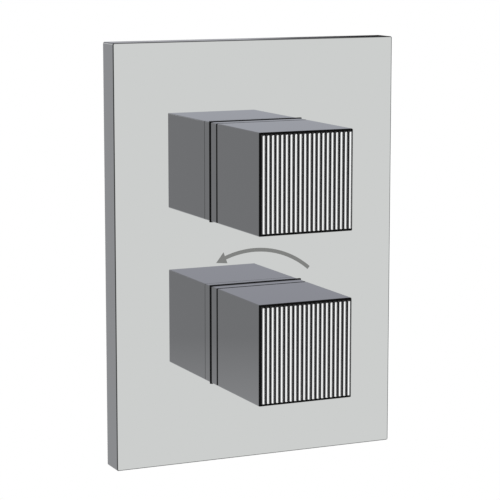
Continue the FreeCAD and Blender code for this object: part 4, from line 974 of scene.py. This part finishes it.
class Springs(bpy.types.Operator):
    """The wound springs of the check valves and the thermostat"""
    bl_idname = "valve.springs"
    bl_label = "Springs"

    def execute(self, context):
        settings = looks().springs
        tree = coil_tree()
        material = spring_steel()
        for node, joint in CHECK_SPRINGS.items():
            made = self.wind(tree, material, node, settings.check_wire, settings.check_turns, "valve",
                             Matrix())
            self.give(made, node, joint)
        to_back = Matrix.Rotation(math.radians(-90.0), 4, "X")
        made = self.wind(tree, material, "return_spring", settings.return_wire, settings.return_turns,
                         "valve", to_back)
        self.give(made, "return_spring", "regulator_slide")
        self.wind(tree, material, "overload_spring", settings.overload_wire, settings.overload_turns,
                  "regulator", to_back)
        return {"FINISHED"}

    def wind(self, tree, material, node, wire, turns, body, turn):
        """A spring in the place of its plain solid, wound round Z and then turned."""
        low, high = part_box(node)
        size = high - low
        height = (size.z if turn == Matrix() else size.y) - 2 * wire
        mesh = grown_mesh(node + "_wire", tree, {
            "Coil Radius": size.x / 2 - wire, "Wire Radius": wire, "Turns": float(turns), "Height": height,
            "Material": material})
        mesh.transform(Matrix.Translation((0.0, 0.0, -height / 2)))
        mesh.transform(Matrix.Translation(middle(node)) @ turn)
        return piece(node + "_wire", smoothed(mesh), body, "steel", node)

    def give(self, made, node, joint):
        """Works out the share of its length that a spring would keep along its joint, towards its fixed end at the
        highest corner of its box, but does not use it; the spring only gets a mesh of its own.
        """
        record = next(row for row in frame["joints"] if row["name"] == joint)
        axis = Vector(record["axis"])
        travel = max(abs(end) for end in record["range_m"])
        low, fixed_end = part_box(node)
        tall = abs((fixed_end - low).dot(axis))
        1.0 - travel / tall
        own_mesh(made)


class BrassWorks(bpy.types.Operator):
    """The cast body, its unions and the turned brass pieces"""
    bl_idname = "valve.brass_works"
    bl_label = "Brass Works"

    def execute(self, context):
        casting = coated(flush_casting(), cast_brass())
        piece("valve_casting", casting, "valve", "brass", "valve_body")
        dress(TURNED_BRASS, turned_brass("Y"))
        # The sleeve nuts are blackened, which also paints shade into the gaps by the gaskets
        dress(["sleeve_nuts"], blackened_brass_gap_shade())
        upright = turned_brass("Z")
        for union, mouth_up in UNIONS.items():
            mesh = coated(threaded_mesh(union, mouth_up), upright)
            piece(union + "_threaded", mesh, "valve", "brass", union)
        return {"FINISHED"}


class InnerPieces(bpy.types.Operator):
    """Moulded, ceramic, fibre and steel pieces inside the valve"""
    bl_idname = "valve.inner_pieces"
    bl_label = "Inner Pieces"

    def execute(self, context):
        settings = looks().inner
        dress(nodes_in("acetal"), moulded("acetal", settings.plastic, rough=0.45, grain_scale=700.0))
        dress(nodes_in("ceramic"), moulded("ceramic", settings.ceramic, rough=0.3, grain_scale=1500.0))
        dress(nodes_in("fibre"), moulded("fibre", settings.fibre, rough=0.85, grain_scale=1900.0))
        dress(nodes_in("steel"), spring_steel())
        return {"FINISHED"}


class Studio(bpy.types.Operator):
    """Camera, floor, lamp, surroundings and grey cards"""
    bl_idname = "valve.studio"
    bl_label = "Studio"

    def execute(self, context):
        settings = looks().studio
        scene = context.scene
        scene.view_settings.view_transform = "Standard"
        self.camera(scene, settings)
        self.floor(settings)
        self.lamp(settings)
        self.surroundings(scene, settings)
        for card in CARDS:
            self.card(*card)
        for flag, sides in FLAG_SIDES.items():
            for row, card in FLAG_ROWS.items():
                self.card(flag + row, sides, *card)
        return {"FINISHED"}

    def camera(self, scene, settings):
        data = bpy.data.cameras.new("camera")
        data.lens = settings.lens
        camera = linked("camera", data)
        camera.location = settings.eye
        camera.rotation_euler = (math.radians(90.0) - settings.dip, 0.0, -settings.turn)
        scene.camera = camera

    def floor(self, settings):
        shape = bmesh.new()
        bmesh.ops.create_circle(shape, cap_ends=True, segments=FLOOR_SIDES, radius=settings.floor_radius)
        mesh = shape_mesh("floor", shape)
        mesh.transform(Matrix.Translation((0.0, 0.0, -settings.floor_drop)))
        material, recipe, shader = finish("floor", Roughness=0.8)
        cloud = recipe.noise(scale=3.0)
        feed(recipe, shader, Base_Color=recipe.mottle(cloud, settings.floor_tint, low=0.99, high=1.01))
        floor = linked("floor", coated(mesh, material))
        floor.visible_glossy = False

    def lamp(self, settings):
        data = bpy.data.lights.new("soft_lamp", "AREA")
        data.shape = "DISK"
        data.size = settings.lamp_size
        data.energy = settings.lamp_power
        lamp = linked("soft_lamp", data)
        lamp.location = settings.lamp_place
        lamp.rotation_euler = (-lamp.location).to_track_quat("-Z", "Y").to_euler()

    def surroundings(self, scene, settings):
        world = bpy.data.worlds.new("surroundings")
        world.use_nodes = True
        backdrop = next(node for node in world.node_tree.nodes if node.type == "BACKGROUND")
        backdrop.inputs["Color"].default_value = rgba(settings.backdrop)
        backdrop.inputs["Strength"].default_value = 1.0
        scene.world = world

    def card(self, name, sides, heights, foot, top, fade=1.0):
        """A curved grey card that shows in the chrome and is out of the picture."""
        shape = bmesh.new()
        layer = shape.verts.layers.float_color.new("tint")
        lines = []
        for height, tint in zip(heights, (foot, top)):
            rise = math.radians(height)
            level = math.cos(rise)
            line = []
            for i in range(CARD_STEPS + 1):
                turn = math.radians(sides[0] + (sides[1] - sides[0]) * i / CARD_STEPS)
                toward = Vector((math.sin(turn) * level, math.cos(turn) * level, math.sin(rise)))
                corner = shape.verts.new(CARD_DISTANCE * toward)
                corner[layer] = rgba(tint, 1.0 + (fade - 1.0) * i / CARD_STEPS)
                line.append(corner)
            lines.append(line)
        for i in range(CARD_STEPS):
            shape.faces.new((lines[0][i], lines[0][i + 1], lines[1][i + 1], lines[1][i]))
        card = linked(name, coated(shape_mesh(name, shape), self.card_paint(name)))
        card.visible_camera = False
        card.visible_diffuse = False
        card.visible_transmission = False
        card.visible_shadow = False

    def card_paint(self, name):
        material = bpy.data.materials.new(name)
        material.use_nodes = True
        material.cycles.emission_sampling = "NONE"
        material.node_tree.nodes.clear()
        recipe = Recipe(material.node_tree)
        tint = recipe.add("ShaderNodeAttribute", {"attribute_name": "tint"}, output="Color")
        glow = recipe.add("ShaderNodeEmission", inputs={"Color": tint, "Strength": 1.0})
        recipe.add("ShaderNodeOutputMaterial", inputs={"Surface": glow})
        return material


OPERATORS = (Studio, ChromeShells, FlutedFaces, BlackFronts, PlateArrow, Springs, BrassWorks, InnerPieces)


class ValvePanel(bpy.types.Panel):
    """Lists the valve's settings and pieces"""
    bl_idname = "VIEW3D_PT_shower_valve"
    bl_label = "Shower Valve"
    bl_space_type = "VIEW_3D"
    bl_region_type = "UI"
    bl_category = "Shower Valve"

    def draw(self, context):
        for group in ValveLooks.__annotations__:
            box = self.layout.box()
            box.label(text=group.title())
            settings = getattr(context.scene.valve_looks, group)
            for name in settings.__annotations__:
                box.prop(settings, name)
        for operator in OPERATORS:
            self.layout.operator(operator.bl_idname)


CLASSES = (ChromeSettings, RibSettings, BlackSettings, ArrowSettings, SpringSettings, BrassSettings,
           InnerSettings, StudioSettings, ValveLooks, *OPERATORS, ValvePanel)


def register():
    for item in CLASSES:
        bpy.utils.register_class(item)
    bpy.types.Scene.valve_looks = PointerProperty(type=ValveLooks)


def unregister():
    del bpy.types.Scene.valve_looks
    for item in reversed(CLASSES):
        bpy.utils.unregister_class(item)


def main():
    register()
    bpy.ops.valve.studio()
    bpy.ops.valve.chrome_shells()
    bpy.ops.valve.fluted_faces()
    bpy.ops.valve.black_fronts()
    bpy.ops.valve.plate_arrow()
    bpy.ops.valve.springs()
    bpy.ops.valve.brass_works()
    bpy.ops.valve.inner_pieces()


if __name__ == "__main__":
    main()
